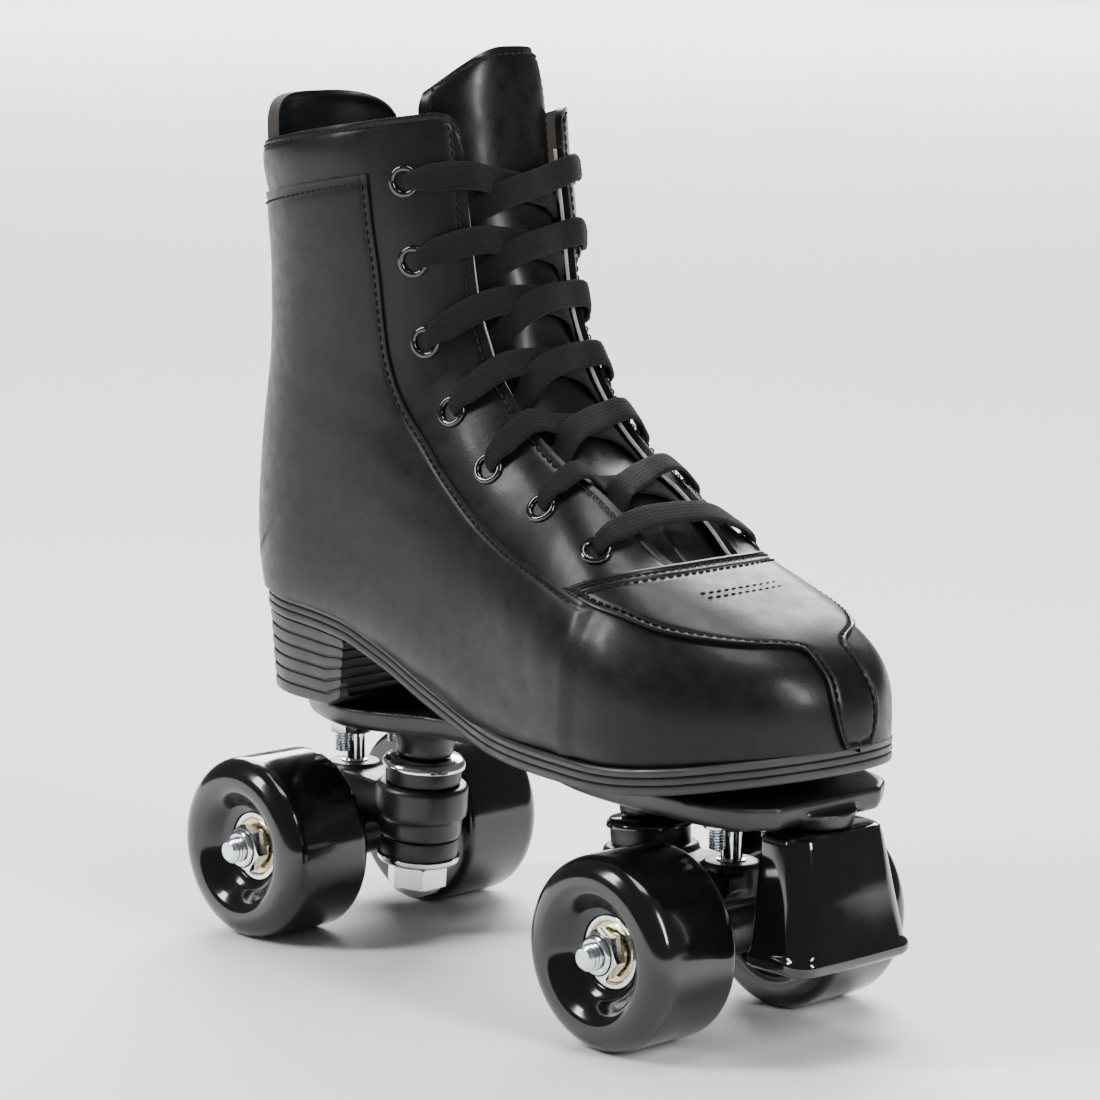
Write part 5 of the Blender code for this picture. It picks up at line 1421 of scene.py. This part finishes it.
# ------------------------------------------------------------------------------------------- bottom
@dataclass
class Bottom:
    """Outsole with its ridged edge, stacked heel and insole."""

    shop: Workshop
    finishes: Finishes
    surface: BootSurface
    heel_back: float = -110.6
    heel_breast: float = -50.0
    heel_bottom: float = 76.2
    thick: float = 8.0
    right_line: tuple = ((-111.0, 32.0), (-52.0, 34.6), (-28.0, 33.2), (0.0, 35.0), (30.0, 42.8),
                         (56.0, 47.6), (82.0, 49.4), (134.0, 49.6))
    left_line: tuple = ((-111.0, 32.0), (-52.0, 33.6), (-28.0, 32.2), (0.0, 32.4), (30.0, 36.6), (56.0, 41.0),
                        (82.0, 44.4), (134.0, 51.4))

    def outline(self, x: Array) -> tuple[Array, Array]:
        """Right and left y of the sole at x."""
        toe = self.surface.toe_round(x, 70.0, 2.1)
        t = np.clip((self.heel_back + 34.0 - x) / 34.0, 0.0, 1.0)
        heel = np.maximum(0.0, 1.0 - t ** 2.15) ** (1 / 2.15)
        middle = 3.0 * np.maximum(0.0, (x - 100.0) / 32.0) * (1 - toe)
        right = middle - catmull(self.right_line, x) * toe * heel
        left = middle + catmull(self.left_line, x) * toe * heel
        return right, left

    def loop(self, stations: Array, inset: float) -> Array:
        """Closed outline through the stations, moved inwards by an inset.

        Args:
            stations: places along the sole.
            inset: distance inwards.

        Returns:
            The ring of points.
        """
        right, left = self.outline(stations)
        ring = np.concatenate([np.stack([stations, right], -1), np.stack([stations[::-1], left[::-1]], -1)])
        ahead = np.roll(ring, -1, axis=0) - np.roll(ring, 1, axis=0)
        outward = unit(np.stack([ahead[:, 1], -ahead[:, 0]], -1))
        return ring - outward * inset

    def stack(self, name: str, stations: Array, levels: list, nodes: tuple, clipped: bool = False) -> None:
        """Slab whose edge follows its levels, capped across its width.

        Args:
            name: the piece's name.
            stations: places along the sole.
            levels: (height function, inset) from top to bottom.
            nodes: frame nodes that it stands for.
            clipped: keep the insets between the first and last station.
        """
        rings = []
        for height, inset in levels:
            flat = self.loop(stations, inset)
            along = np.clip(flat[:, 0], stations[0], stations[-1]) if clipped else flat[:, 0]
            rings.append(np.stack([along, flat[:, 1], height(along)], -1))
        solid = Solid.loft(rings, capped=False)
        count = len(rings[0])
        half = count // 2
        last = (len(rings) - 1) * count
        for start in (0, last):
            for k in range(half - 1):
                solid.faces.append([start + k, start + k + 1, start + count - 2 - k, start + count - 1 - k])
        self.shop.solid(name, solid, self.finishes.sole, ROOT_BODY, "sole_rubber", nodes,
                        sharp=38.0)

    def build(self) -> None:
        """Make the outsole and heel, and finish the insole."""
        top = self.surface.sole_top
        sweep = (1 - np.cos(np.linspace(0.0, math.pi, 130))) / 2
        x = self.heel_back + 0.1 + (self.surface.toe_x - 0.2 - self.heel_back) * sweep
        edge = [(0.25, 6.0), (0.3, 3.2), (0.1, 1.6), (0.25, 0.5), (0.8, 0.05), (1.6, 0.0), (2.35, 0.1),
                (2.75, 0.75), (3.15, 0.15), (3.9, 0.0), (4.7, 0.1), (5.1, 0.75), (5.5, 0.15), (6.2, 0.0),
                (7.2, 0.1), (7.8, 0.5), (8.0, 1.3), (8.0, 4.0)]
        levels = [(lambda at, d=depth: top(at) - d, inset) for depth, inset in edge]
        self.stack("ridged_outsole", x, levels, ("outsole",))
        back = self.heel_back + 0.1
        sweep = 1 - np.cos(np.linspace(0.0, math.pi / 2, 60))
        x = back + (self.heel_breast - back) * sweep
        levels = [(lambda at: top(at) - self.thick + 0.4, 1.4)]
        layers = 6
        for layer in range(layers):
            for share, inset in ((0.04, 0.85), (0.14, 0.2), (0.5, 0.0), (0.86, 0.15), (0.96, 0.85)):
                part = (layer + share) / layers
                levels.append((lambda at, p=part: self.heel_height(at, p), 0.6 + 1.9 * part + inset))
        levels.append((lambda at: self.heel_height(at, 1.0), 3.6))
        self.stack("stacked_heel", x, levels, ("heel",), clipped=True)
        self.shop.dress("insole", self.finishes.lining)

    def heel_height(self, x: Array, share: float) -> Array:
        """Height of a heel layer; the bottom is cut away towards the breast.

        Args:
            x: places along the heel.
            share: 0 at the top of the heel and 1 at its bottom.

        Returns:
            The height at each place.
        """
        high = self.surface.sole_top(x) - self.thick
        low = self.heel_bottom + np.maximum(0.0, (x + 62.0) / 12.0 * 5.6)
        return high + (low - high) * share


# ------------------------------------------------------------------------------------------- plate
def fused(shop: Workshop, name: str, solids: list, voxel: float, finish: bpy.types.Material, body: str,
          slot: str, nodes: tuple, rounds: int = 6) -> bpy.types.Object:
    """One cast-looking piece from overlapping solids, with small fillets where they meet."""
    whole = solids[0].joined(*solids[1:])
    mesh = bpy.data.meshes.new(name)
    mesh.from_pydata(Workshop.world(whole.points).tolist(), [], whole.faces)
    obj = bpy.data.objects.new(name, mesh)
    bpy.context.scene.collection.objects.link(obj)
    bpy.context.view_layer.objects.active = obj
    remesh = obj.modifiers.new("fuse", "REMESH")
    remesh.mode = "VOXEL"
    remesh.voxel_size = voxel * MM
    smooth = obj.modifiers.new("fillets", "SMOOTH")
    smooth.factor = 0.5
    smooth.iterations = rounds
    graph = bpy.context.evaluated_depsgraph_get()
    solid = bpy.data.meshes.new_from_object(obj.evaluated_get(graph))
    obj.modifiers.clear()
    obj.data = solid
    bpy.data.meshes.remove(mesh)
    solid.materials.clear()
    solid.materials.append(finish)
    solid.shade_smooth()
    shop.place(obj, body, slot, nodes)
    return obj


@dataclass
class Baseplate:
    """Moulded plate under the sole, with its bosses, bolts and nuts."""

    shop: Workshop
    finishes: Finishes
    top: float = 75.9
    thick: float = 7.2
    kingpin_x: float = 53.0
    kingpin_lean: float = math.radians(4.8)
    ring_z: float = 40.2
    pivot_x: float = 86.2
    stop_x: float = 120.0
    bolt_x: tuple = (91.0, -79.0)
    bolt_y: float = 11.0
    line: tuple = ((-95.0, 9.0), (-91.0, 16.0), (-80.0, 23.0), (-60.0, 28.5), (-46.0, 25.0), (-28.0, 17.0),
                   (12.0, 17.0), (34.0, 27.0), (60.0, 34.0), (104.0, 35.0), (119.0, 30.0), (126.0, 21.0))

    def build(self) -> None:
        """Make the plate and its fasteners."""
        low, high = self.line[0][0], self.line[-1][0]
        stations = (low + high) / 2 - (high - low) / 2 * np.cos(np.linspace(0.0, math.pi, 90))
        width = catmull(self.line, stations)
        ring = np.concatenate([np.stack([stations, width], -1), np.stack([stations[::-1], -width[::-1]], -1)])
        ahead = np.roll(ring, -1, axis=0) - np.roll(ring, 1, axis=0)
        inward = unit(np.stack([ahead[:, 1], -ahead[:, 0]], -1))
        bottom = self.top - self.thick
        rings = []
        for z, inset in ((self.top, 0.4), (self.top - 0.5, 0.0), (bottom + 2.6, 0.5), (bottom + 1.0, 1.1),
                         (bottom + 0.2, 2.2), (bottom, 3.6)):
            flat = ring + inward * inset
            rings.append(np.column_stack([flat, np.full(len(flat), z)]))
        plate = Solid.loft([list(map(tuple, r)) for r in rings])
        solids = [plate]
        for end in End:
            lean = (-end.value * math.sin(self.kingpin_lean), 0.0, math.cos(self.kingpin_lean))
            boss = Solid.lathe([(0.0, 31.0), (13.4, 31.0), (13.0, 28.0), (10.6, 24.6), (9.2, 21.0),
                                (9.0, 17.8), (5.4, 17.6), (0.0, 17.6)], 40)
            solids.append(boss.moved((end.value * self.kingpin_x, 0.0, self.ring_z), lean))
            cup = Solid.lathe([(0.0, 72.0), (9.6, 72.0), (8.2, 68.0), (7.2, 64.0), (6.9, 60.2), (5.4, 60.1),
                               (5.4, 66.0), (0.0, 66.0)], 36)
            solids.append(cup.moved((end.value * self.pivot_x, 0.0, 0.0)))
        solids.append(Solid.lathe([(0.0, 72.0), (12.0, 72.0), (11.0, 69.4), (10.5, 67.2), (0.0, 67.2)],
                                  40).moved((self.stop_x, 0.0, 0.0)))
        fused(self.shop, "moulded_plate", solids, 0.9, self.finishes.plastic, ROOT_BODY, "plate_plastic",
              ("baseplate",), rounds=4)
        for end, x in zip(End, self.bolt_x):
            for side in Side:
                self.fastener("%s_%s" % (end.label, side.label), x, side.value * self.bolt_y, bottom)
        self.shop.dress("toe_stop_stem", self.finishes.zinc)
        for end in End:
            self.shop.dress("pivot_cup_" + end.label, self.finishes.cushion)

    def fastener(self, label: str, x: float, y: float, bottom: float) -> None:
        """Threaded bolt end and flanged hexagonal nut under the plate.

        Args:
            label: end and side.
            x: place along the plate.
            y: place across the plate.
            bottom: height of the plate's lower face.
        """
        low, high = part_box("plate_bolt_" + label)
        tip, head = low.z / MM, high.z / MM
        profile = [(0.0, head), (4.4, head), (4.4, head - 2.4), (2.5, head - 3.0)]
        profile += thread(2.5, tip + 0.4, bottom - 6.0, 0.8, 0.3) + [(0.0, tip)]
        bolt = Solid.lathe(profile, 32).moved((x, y, 0.0))
        self.shop.solid("sole_bolt_" + label, bolt, self.finishes.zinc, ROOT_BODY,
                        "zinc_steel", ("plate_bolt_" + label,), sharp=30.0)
        nut = Solid.hexagon(8.0, bottom - 6.4, bottom - 1.4, 2.6, (True, False))
        flange = Solid.lathe([(2.7, bottom - 0.3), (5.6, bottom - 0.3), (5.8, bottom - 0.9),
                              (4.6, bottom - 1.9), (2.7, bottom - 2.0)], 40)
        whole = nut.joined(flange).moved((x, y, 0.0))
        self.shop.solid("flange_nut_" + label, whole, self.finishes.chrome, ROOT_BODY,
                        "zinc_steel", ("plate_nut_" + label,), sharp=30.0)


@dataclass
class ToeStop:
    """Polished rubber block that widens downwards to a rounded bead."""

    shop: Workshop
    finishes: Finishes
    back_x: float = 115.6
    corner: float = 7.0

    def build(self) -> None:
        """Loft the block through level rings."""
        levels = ((28.0, 135.6, 21.0), (28.1, 137.0, 22.4), (28.7, 138.3, 23.5), (29.7, 139.0, 24.1),
                  (31.0, 139.2, 24.2), (32.2, 139.0, 24.1), (33.0, 138.5, 23.6), (33.6, 138.0, 23.1),
                  (34.4, 137.8, 22.9), (48.0, 135.4, 21.0), (64.0, 132.6, 19.0), (65.9, 132.0, 18.6),
                  (66.7, 131.0, 17.8), (67.0, 129.6, 16.8))
        rings = []
        for z, front, half in levels:
            r = self.corner
            ring = [(self.back_x, half - 2.0), (self.back_x + 0.6, half - 0.6), (self.back_x + 2.0, half)]
            ring += [(front - r + r * math.sin(a), half - r + r * math.cos(a))
                     for a in np.linspace(0.0, math.pi / 2, 15)]
            ring += [(front + 0.5 * math.cos(math.pi * y / 2), (half - r) * y) for y in (0.8, 0.5, 0.2)]
            ring += [(x, -y) for x, y in reversed(ring)]
            rings.append([(x, y, z) for x, y in ring])
        block = Solid.loft(rings)
        self.shop.solid("polished_toe_stop", block, self.finishes.polished, ROOT_BODY,
                        "stop_rubber", ("toe_stop",), sharp=35.0, bevel=0.4)


# ------------------------------------------------------------------------------------------- trucks
@dataclass
class Truck:
    """One truck: kingpin stack on the plate, and the hanger with its axle that steers on the pivot."""

    shop: Workshop
    finishes: Finishes
    end: End
    plate: Baseplate
    axle_tip: float = 56.0
    nut_y: tuple = (45.6, 51.6)

    def __post_init__(self) -> None:
        """Work out the kingpin's line."""
        out = self.end.value
        self.body = "truck_" + self.end.label
        self.centre = (out * self.plate.kingpin_x, 0.0, self.plate.ring_z)
        self.lean = (-out * math.sin(self.plate.kingpin_lean), 0.0, math.cos(self.plate.kingpin_lean))

    def build(self) -> None:
        """Make the stack, the hanger and the axle."""
        self.kingpin_stack()
        self.hanger()
        self.axle()

    def turned(self, name: str, profile: list, finish: bpy.types.Material, slot: str, node: str,
               body: str = ROOT_BODY, steps: int = 64) -> None:
        """Turned piece on the kingpin's line.

        Args:
            name: the piece's name.
            profile: (radius, height) points along the line.
            finish: its material.
            slot: a material slot name; not used.
            node: the frame node that it stands for.
            body: the frame body that it rides on.
            steps: points round it.
        """
        solid = Solid.lathe(profile, steps).moved(self.centre, self.lean)
        self.shop.solid(name, solid, finish, body, slot, (node,), sharp=32.0)

    def kingpin_stack(self) -> None:
        """Cup washers, cushions, kingpin and its nut."""
        label = self.end.label
        # The front top cup washer is chrome like the rear one; its black enamel is a painted dark reflection
        # of the boot's underside.
        dome = self.finishes.chrome if self.end is End.REAR else self.finishes.enamel_and_painted_reflection
        cup = rounded([(5.4, 17.4), (9.0, 17.4), (12.2, 16.9), (13.3, 15.4), (13.4, 14.2), (12.9, 14.2),
                       (12.7, 15.6), (5.4, 16.0)], 0.8)
        self.turned("dome_washer_" + label, cup, dome, "chrome_steel", "upper_washer_" + label)
        cushion = rounded([(5.4, 15.7), (12.0, 15.7), (12.25, 12.0), (12.1, 9.0), (5.4, 9.0)], 0.7)
        self.turned("top_cushion_" + label, cushion, self.finishes.cushion, "cushion_rubber",
                    "upper_cushion_" + label)
        cushion = rounded([(5.4, -9.0), (12.5, -9.0), (12.7, -12.5), (12.4, -16.0), (5.4, -16.0)], 0.7)
        self.turned("bottom_cushion_" + label, cushion, self.finishes.cushion, "cushion_rubber",
                    "lower_cushion_" + label)
        cup = rounded([(5.4, -16.3), (12.4, -16.2), (12.9, -15.0), (13.3, -15.2), (13.0, -17.0),
                       (11.6, -17.7), (5.4, -17.7)], 0.5)
        self.turned("bottom_washer_" + label, cup, self.finishes.chrome, "chrome_steel",
                    "lower_washer_" + label)
        pin = [(0.0, 30.0), (4.9, 30.0), (4.9, -18.0)] + thread(4.95, -28.6, -18.4, 1.5, 0.6)
        pin += [(3.6, -29.2), (0.0, -29.3)]
        self.turned("threaded_kingpin_" + label, pin, self.finishes.zinc, "chrome_steel", "kingpin_" + label)
        nut = Solid.hexagon(17.0, -25.2, -18.0, 5.2, (False, True))
        collar = Solid.lathe(rounded([(5.2, -24.6), (8.3, -24.6), (8.1, -26.2), (6.9, -27.7), (5.2, -27.8)],
                                     1.0), 64)
        whole = nut.joined(collar).moved(self.centre, self.lean)
        self.shop.solid("locknut_" + label, whole, self.finishes.chrome, ROOT_BODY,
                        "chrome_steel", ("kingpin_nut_" + label,), sharp=30.0)

    def hanger(self) -> None:
        """Cast arm from the ring to the axle beam, with the pivot's boss."""
        out = self.end.value
        ring = Solid.lathe([(7.2, 8.7), (13.6, 8.7), (14.7, 7.6), (14.8, 0.0), (14.6, -1.6), (13.3, -2.6),
                            (13.2, -8.0), (12.8, -8.7), (7.2, -8.7)], 64).moved(self.centre, self.lean)
        beam = Solid.lathe([(0.0, 22.0), (6.4, 22.0), (6.9, 20.6), (8.4, 19.4), (9.4, 12.0), (9.6, 0.0),
                            (9.4, -12.0), (8.4, -19.4), (6.9, -20.6), (6.4, -22.0), (0.0, -22.0)],
                           48).moved((out * WHEELBASE / 2, 0.0, AXLE_Z), (0.0, 1.0, 0.0))
        outline = ((self.plate.kingpin_x + 9.0, 34.2), (self.plate.kingpin_x + 9.0, 47.6), (76.0, 48.4),
                   (95.0, 47.4), (95.4, 43.0), (88.0, 36.0), (84.0, 21.5), (77.0, 21.5), (74.0, 28.0),
                   (68.0, 33.4))
        rings = [[(out * x, y * half, z) for x, z in outline] for y, half in ((-1, 9.5), (1, 9.5))]
        arm = Solid.loft(rings)
        boss = Solid.lathe([(0.0, 50.0), (8.0, 50.0), (9.0, 48.8), (9.4, 44.0), (9.0, 40.0), (0.0, 40.0)],
                           40).moved((out * self.plate.pivot_x, 0.0, 0.0))
        fused(self.shop, "cast_hanger_" + self.end.label, [ring, beam, arm, boss], 0.6, self.finishes.plastic,
              self.body, "plate_plastic", ("hanger_" + self.end.label,), rounds=5)
        pin = Solid.lathe([(0.0, 65.0), (2.2, 65.0), (3.1, 64.2), (3.3, 63.0), (3.3, 50.6), (4.4, 50.4),
                           (4.4, 49.6), (3.3, 49.4), (3.3, 43.0), (0.0, 43.0)],
                           40).moved((out * self.plate.pivot_x, 0.0, 0.0))
        self.shop.solid("polished_pivot_" + self.end.label, pin, self.finishes.chrome, self.body,
                        "chrome_steel", ("pivot_pin_" + self.end.label,), sharp=30.0)

    def axle(self) -> None:
        """Threaded axle and its two locknuts."""
        place = (self.end.value * WHEELBASE / 2, 0.0, AXLE_Z)
        tip, near = self.axle_tip, self.nut_y[0] - 3.0
        half = [(0.0, tip), (2.9, tip - 0.1), (3.7, tip - 0.8)] + thread(3.95, near, tip - 1.0, 1.25, 0.5)
        profile = half + [(3.95, near), (3.95, -near)] + [(r, -h) for r, h in reversed(half)]
        rod = Solid.lathe(profile, 48).moved(place, (0.0, 1.0, 0.0))
        self.shop.solid("threaded_axle_" + self.end.label, rod, self.finishes.zinc, self.body,
                        "zinc_steel", ("axle_" + self.end.label,), sharp=30.0)
        for side in Side:
            nut = Solid.hexagon(13.0, self.nut_y[0], self.nut_y[1] - 1.6, 4.1, (False, True))
            collar = Solid.lathe(rounded([(4.1, self.nut_y[1] - 2.0), (6.2, self.nut_y[1] - 2.0),
                                          (6.1, self.nut_y[1] - 0.7), (5.2, self.nut_y[1]),
                                          (4.1, self.nut_y[1])],
                                         0.6), 56)
            whole = nut.joined(collar).moved(place, (0.0, float(side.value), 0.0), 0.35)
            self.shop.solid("axle_locknut_%s_%s" % (self.end.label, side.label), whole, self.finishes.chrome,
                            self.body, "chrome_steel", ("axle_nut_%s_%s" % (self.end.label, side.label),),
                            sharp=30.0)


@dataclass
class Wheel:
    """Cast urethane wheel on two shielded bearings."""

    shop: Workshop
    finishes: Finishes
    end: End
    side: Side
    radius: float = 29.0
    half: float = 16.0
    middle_y: float = 37.3
    shoulder: float = 7.0
    seat: float = 11.0

    def build(self) -> None:
        """Make the wheel and its bearings."""
        label = "%s_%s" % (self.end.label, self.side.label)
        body = "wheel_" + label
        place = (self.end.value * WHEELBASE / 2, self.side.value * self.middle_y, AXLE_Z)
        axis = (0.0, float(self.side.value), 0.0)
        wheel = Solid.lathe(self.profile(), 112).moved(place, axis)
        self.shop.solid("cast_wheel_" + label, wheel, self.finishes.urethane, body,
                        "wheel_urethane", ("wheel_" + label,), sharp=60.0)
        for kind, face, facing in (("outer", 7.7, 1.0), ("inner", -8.0, -1.0)):
            race = Solid.lathe(rounded([(9.2, face - 0.5), (9.4, face), (10.8, face), (11.0, face - 0.4),
                                        (11.0, face - 6.8), (9.2, face - 6.8)], 0.3), 64)
            inner = Solid.lathe([(4.3, face), (5.7, face), (5.9, face - 0.4), (5.9, face - 6.6),
                                 (4.3, face - 6.8)], 48)
            shield = Solid.lathe([(5.9, face - 0.7), (6.6, face - 0.4), (8.6, face - 0.35), (9.2, face - 0.8),
                                  (9.2, face - 6.2), (5.9, face - 6.2)], 64)
            rings = race.joined(inner)
            if facing < 0:
                shift = 2 * face - 7.0
                rings = Solid(rings.points * [1, 1, -1] + [0, 0, shift], rings.faces, rings.paint)
                shield = Solid(shield.points * [1, 1, -1] + [0, 0, shift], shield.faces, shield.paint)
            rings, shield = rings.moved(place, axis), shield.moved(place, axis)
            self.shop.solid("bearing_races_%s_%s" % (kind, label), rings, self.finishes.chrome, body,
                            "bearing_steel", ("bearing_%s_%s" % (kind, label),), sharp=30.0)
            self.shop.solid("bearing_shield_%s_%s" % (kind, label), shield, self.finishes.shield, body,
                            "bearing_steel", sharp=30.0)

    def profile(self) -> list:
        """Section from the outer bearing seat over the lip, shoulder and tread to the inner face."""
        r, half, s = self.radius, self.half, self.shoulder
        lip = [(self.seat + 0.1, 7.0), (self.seat + 0.1, 8.1), (self.seat + 0.8, 8.5), (13.2, 8.8)]
        cone = [(14.3, 10.0), (15.6, 11.8), (17.0, 13.6), (18.2, 14.9), (19.3, 15.6), (20.6, half)]
        face = [(21.4, half)]
        shoulder = [(r - s + s * math.sin(a), half - s + s * math.cos(a))
                    for a in np.linspace(0.05, math.pi / 2, 14)]
        tread = [(r, 0.0), (r, -half + 3.6)]
        back = [(r - 2.6 + 2.6 * math.cos(a), -half + 2.6 - 2.6 * math.sin(a))
                for a in np.linspace(0.2, math.pi / 2, 8)]
        inner = [(24.0, -half), (19.6, -half), (17.8, -half + 1.2), (16.0, -half + 5.0), (12.4, -half + 6.6),
                 (self.seat + 0.1, -half + 7.0), (self.seat + 0.1, -1.5), (9.6, -1.5), (9.6, 0.3),
                 (self.seat + 0.1, 0.3)]
        return lip + cone + face + shoulder + tread + back + inner


# ------------------------------------------------------------------------------------------- studio
@dataclass
class Studio:
    """Camera, pale floor and soft lights."""

    azimuth: float = 47.137
    elevation: float = 9.925
    distance: float = 1218.786
    target: tuple = (9.627, -3.194, 132.452)
    lens: float = 131.09
    roll: float = 0.616

    def build(self) -> None:
        """Set the scene's camera, floor, world and lights."""
        self.camera()
        self.floor()
        self.world_light()
        self.lamps()

    def camera(self) -> None:
        """Camera on its stand, looking at the middle of the boot."""
        a, e = math.radians(self.azimuth), math.radians(self.elevation)
        back = Vector((math.sin(a) * math.cos(e), -math.cos(a) * math.cos(e), math.sin(e)))
        forward = -back
        right = forward.cross(Vector((0.0, 0.0, 1.0))).normalized()
        up = right.cross(forward)
        r = math.radians(self.roll)
        right, up = right * math.cos(r) + up * math.sin(r), up * math.cos(r) - right * math.sin(r)
        place = Vector(Workshop.world(np.array(self.target))) + back * self.distance * MM
        lens = bpy.data.cameras.new("studio_camera")
        lens.lens = self.lens
        lens.sensor_width = 36.0
        lens.clip_start, lens.clip_end = 0.05, 50.0
        stand = bpy.data.objects.new("studio_camera", lens)
        turn = Matrix((right, up, back)).transposed().to_4x4()
        stand.matrix_world = Matrix.Translation(place) @ turn
        bpy.context.scene.collection.objects.link(stand)
        bpy.context.scene.camera = stand

    def floor(self) -> None:
        """Wide pale floor."""
        work = bmesh.new()
        bmesh.ops.create_grid(work, x_segments=8, y_segments=8, size=9.0)
        mesh = bpy.data.meshes.new("pale_floor")
        work.to_mesh(mesh)
        work.free()
        ground = bpy.data.objects.new("pale_floor", mesh)
        bpy.context.scene.collection.objects.link(ground)
        kit = NodeKit("pale_floor")
        kit.link(kit.blend(kit.noise(3.0), (0.90, 0.90, 0.90), (0.93, 0.93, 0.93)),
                 kit.shader.inputs["Base Color"])
        kit.fix(roughness=0.9, specular_ior_level=0.1)
        mesh.materials.append(kit.material)

    @staticmethod
    def world_light() -> None:
        """Even pale surroundings."""
        world = bpy.context.scene.world or bpy.data.worlds.new("studio")
        bpy.context.scene.world = world
        world.use_nodes = True
        shade = world.node_tree.nodes["Background"]
        shade.inputs["Color"].default_value = (1.0, 1.0, 1.0, 1.0)
        shade.inputs["Strength"].default_value = 0.16

    def lamps(self) -> None:
        """Large soft boxes round the skate."""
        for name, place, power, size in (
                ("key_softbox", (-0.9, -1.5, 1.5), 46.0, (0.4, 1.2)),
                ("front_softbox", (1.8, 0.1, 1.1), 34.0, (0.3, 1.1)),
                ("top_softbox", (0.1, 0.2, 2.0), 26.0, (1.2, 0.7)),
                ("backdrop_softbox", (-5.5, 5.5, 5.0), 1900.0, (6.0, 6.0))):
            light = bpy.data.lights.new(name, "AREA")
            light.shape = "RECTANGLE"
            light.size, light.size_y = size
            light.energy = power
            lamp = bpy.data.objects.new(name, light)
            lamp.location = place
            lamp.rotation_mode = "QUATERNION"
            lamp.rotation_quaternion = (Vector((0.0, 0.0, 0.13)) - Vector(place)).to_track_quat("-Z", "Y")
            bpy.context.scene.collection.objects.link(lamp)


def main() -> None:
    """Build the skate from the boot down, then the studio round it."""
    logging.basicConfig(level=logging.INFO, format="%(name)s: %(message)s")
    shop, finishes, surface = Workshop(), Finishes(), BootSurface()
    seams = Seams(shop, finishes)
    Studio().build()
    Upper(shop, finishes, surface, seams).build()
    Tongue(shop, finishes, surface, seams).build()
    BackTab(shop, finishes, surface).build()
    Eyelets(shop, finishes, surface).build()
    length = Lace(shop, finishes, surface).build()
    log.info("lace is %.0f mm long", length)
    Bottom(shop, finishes, surface).build()
    plate = Baseplate(shop, finishes)
    plate.build()
    ToeStop(shop, finishes).build()
    for end in End:
        Truck(shop, finishes, end, plate).build()
        for side in Side:
            Wheel(shop, finishes, end, side).build()
    log.info("%d pieces made", len(shop.made))


if __name__ == "__main__":
    main()
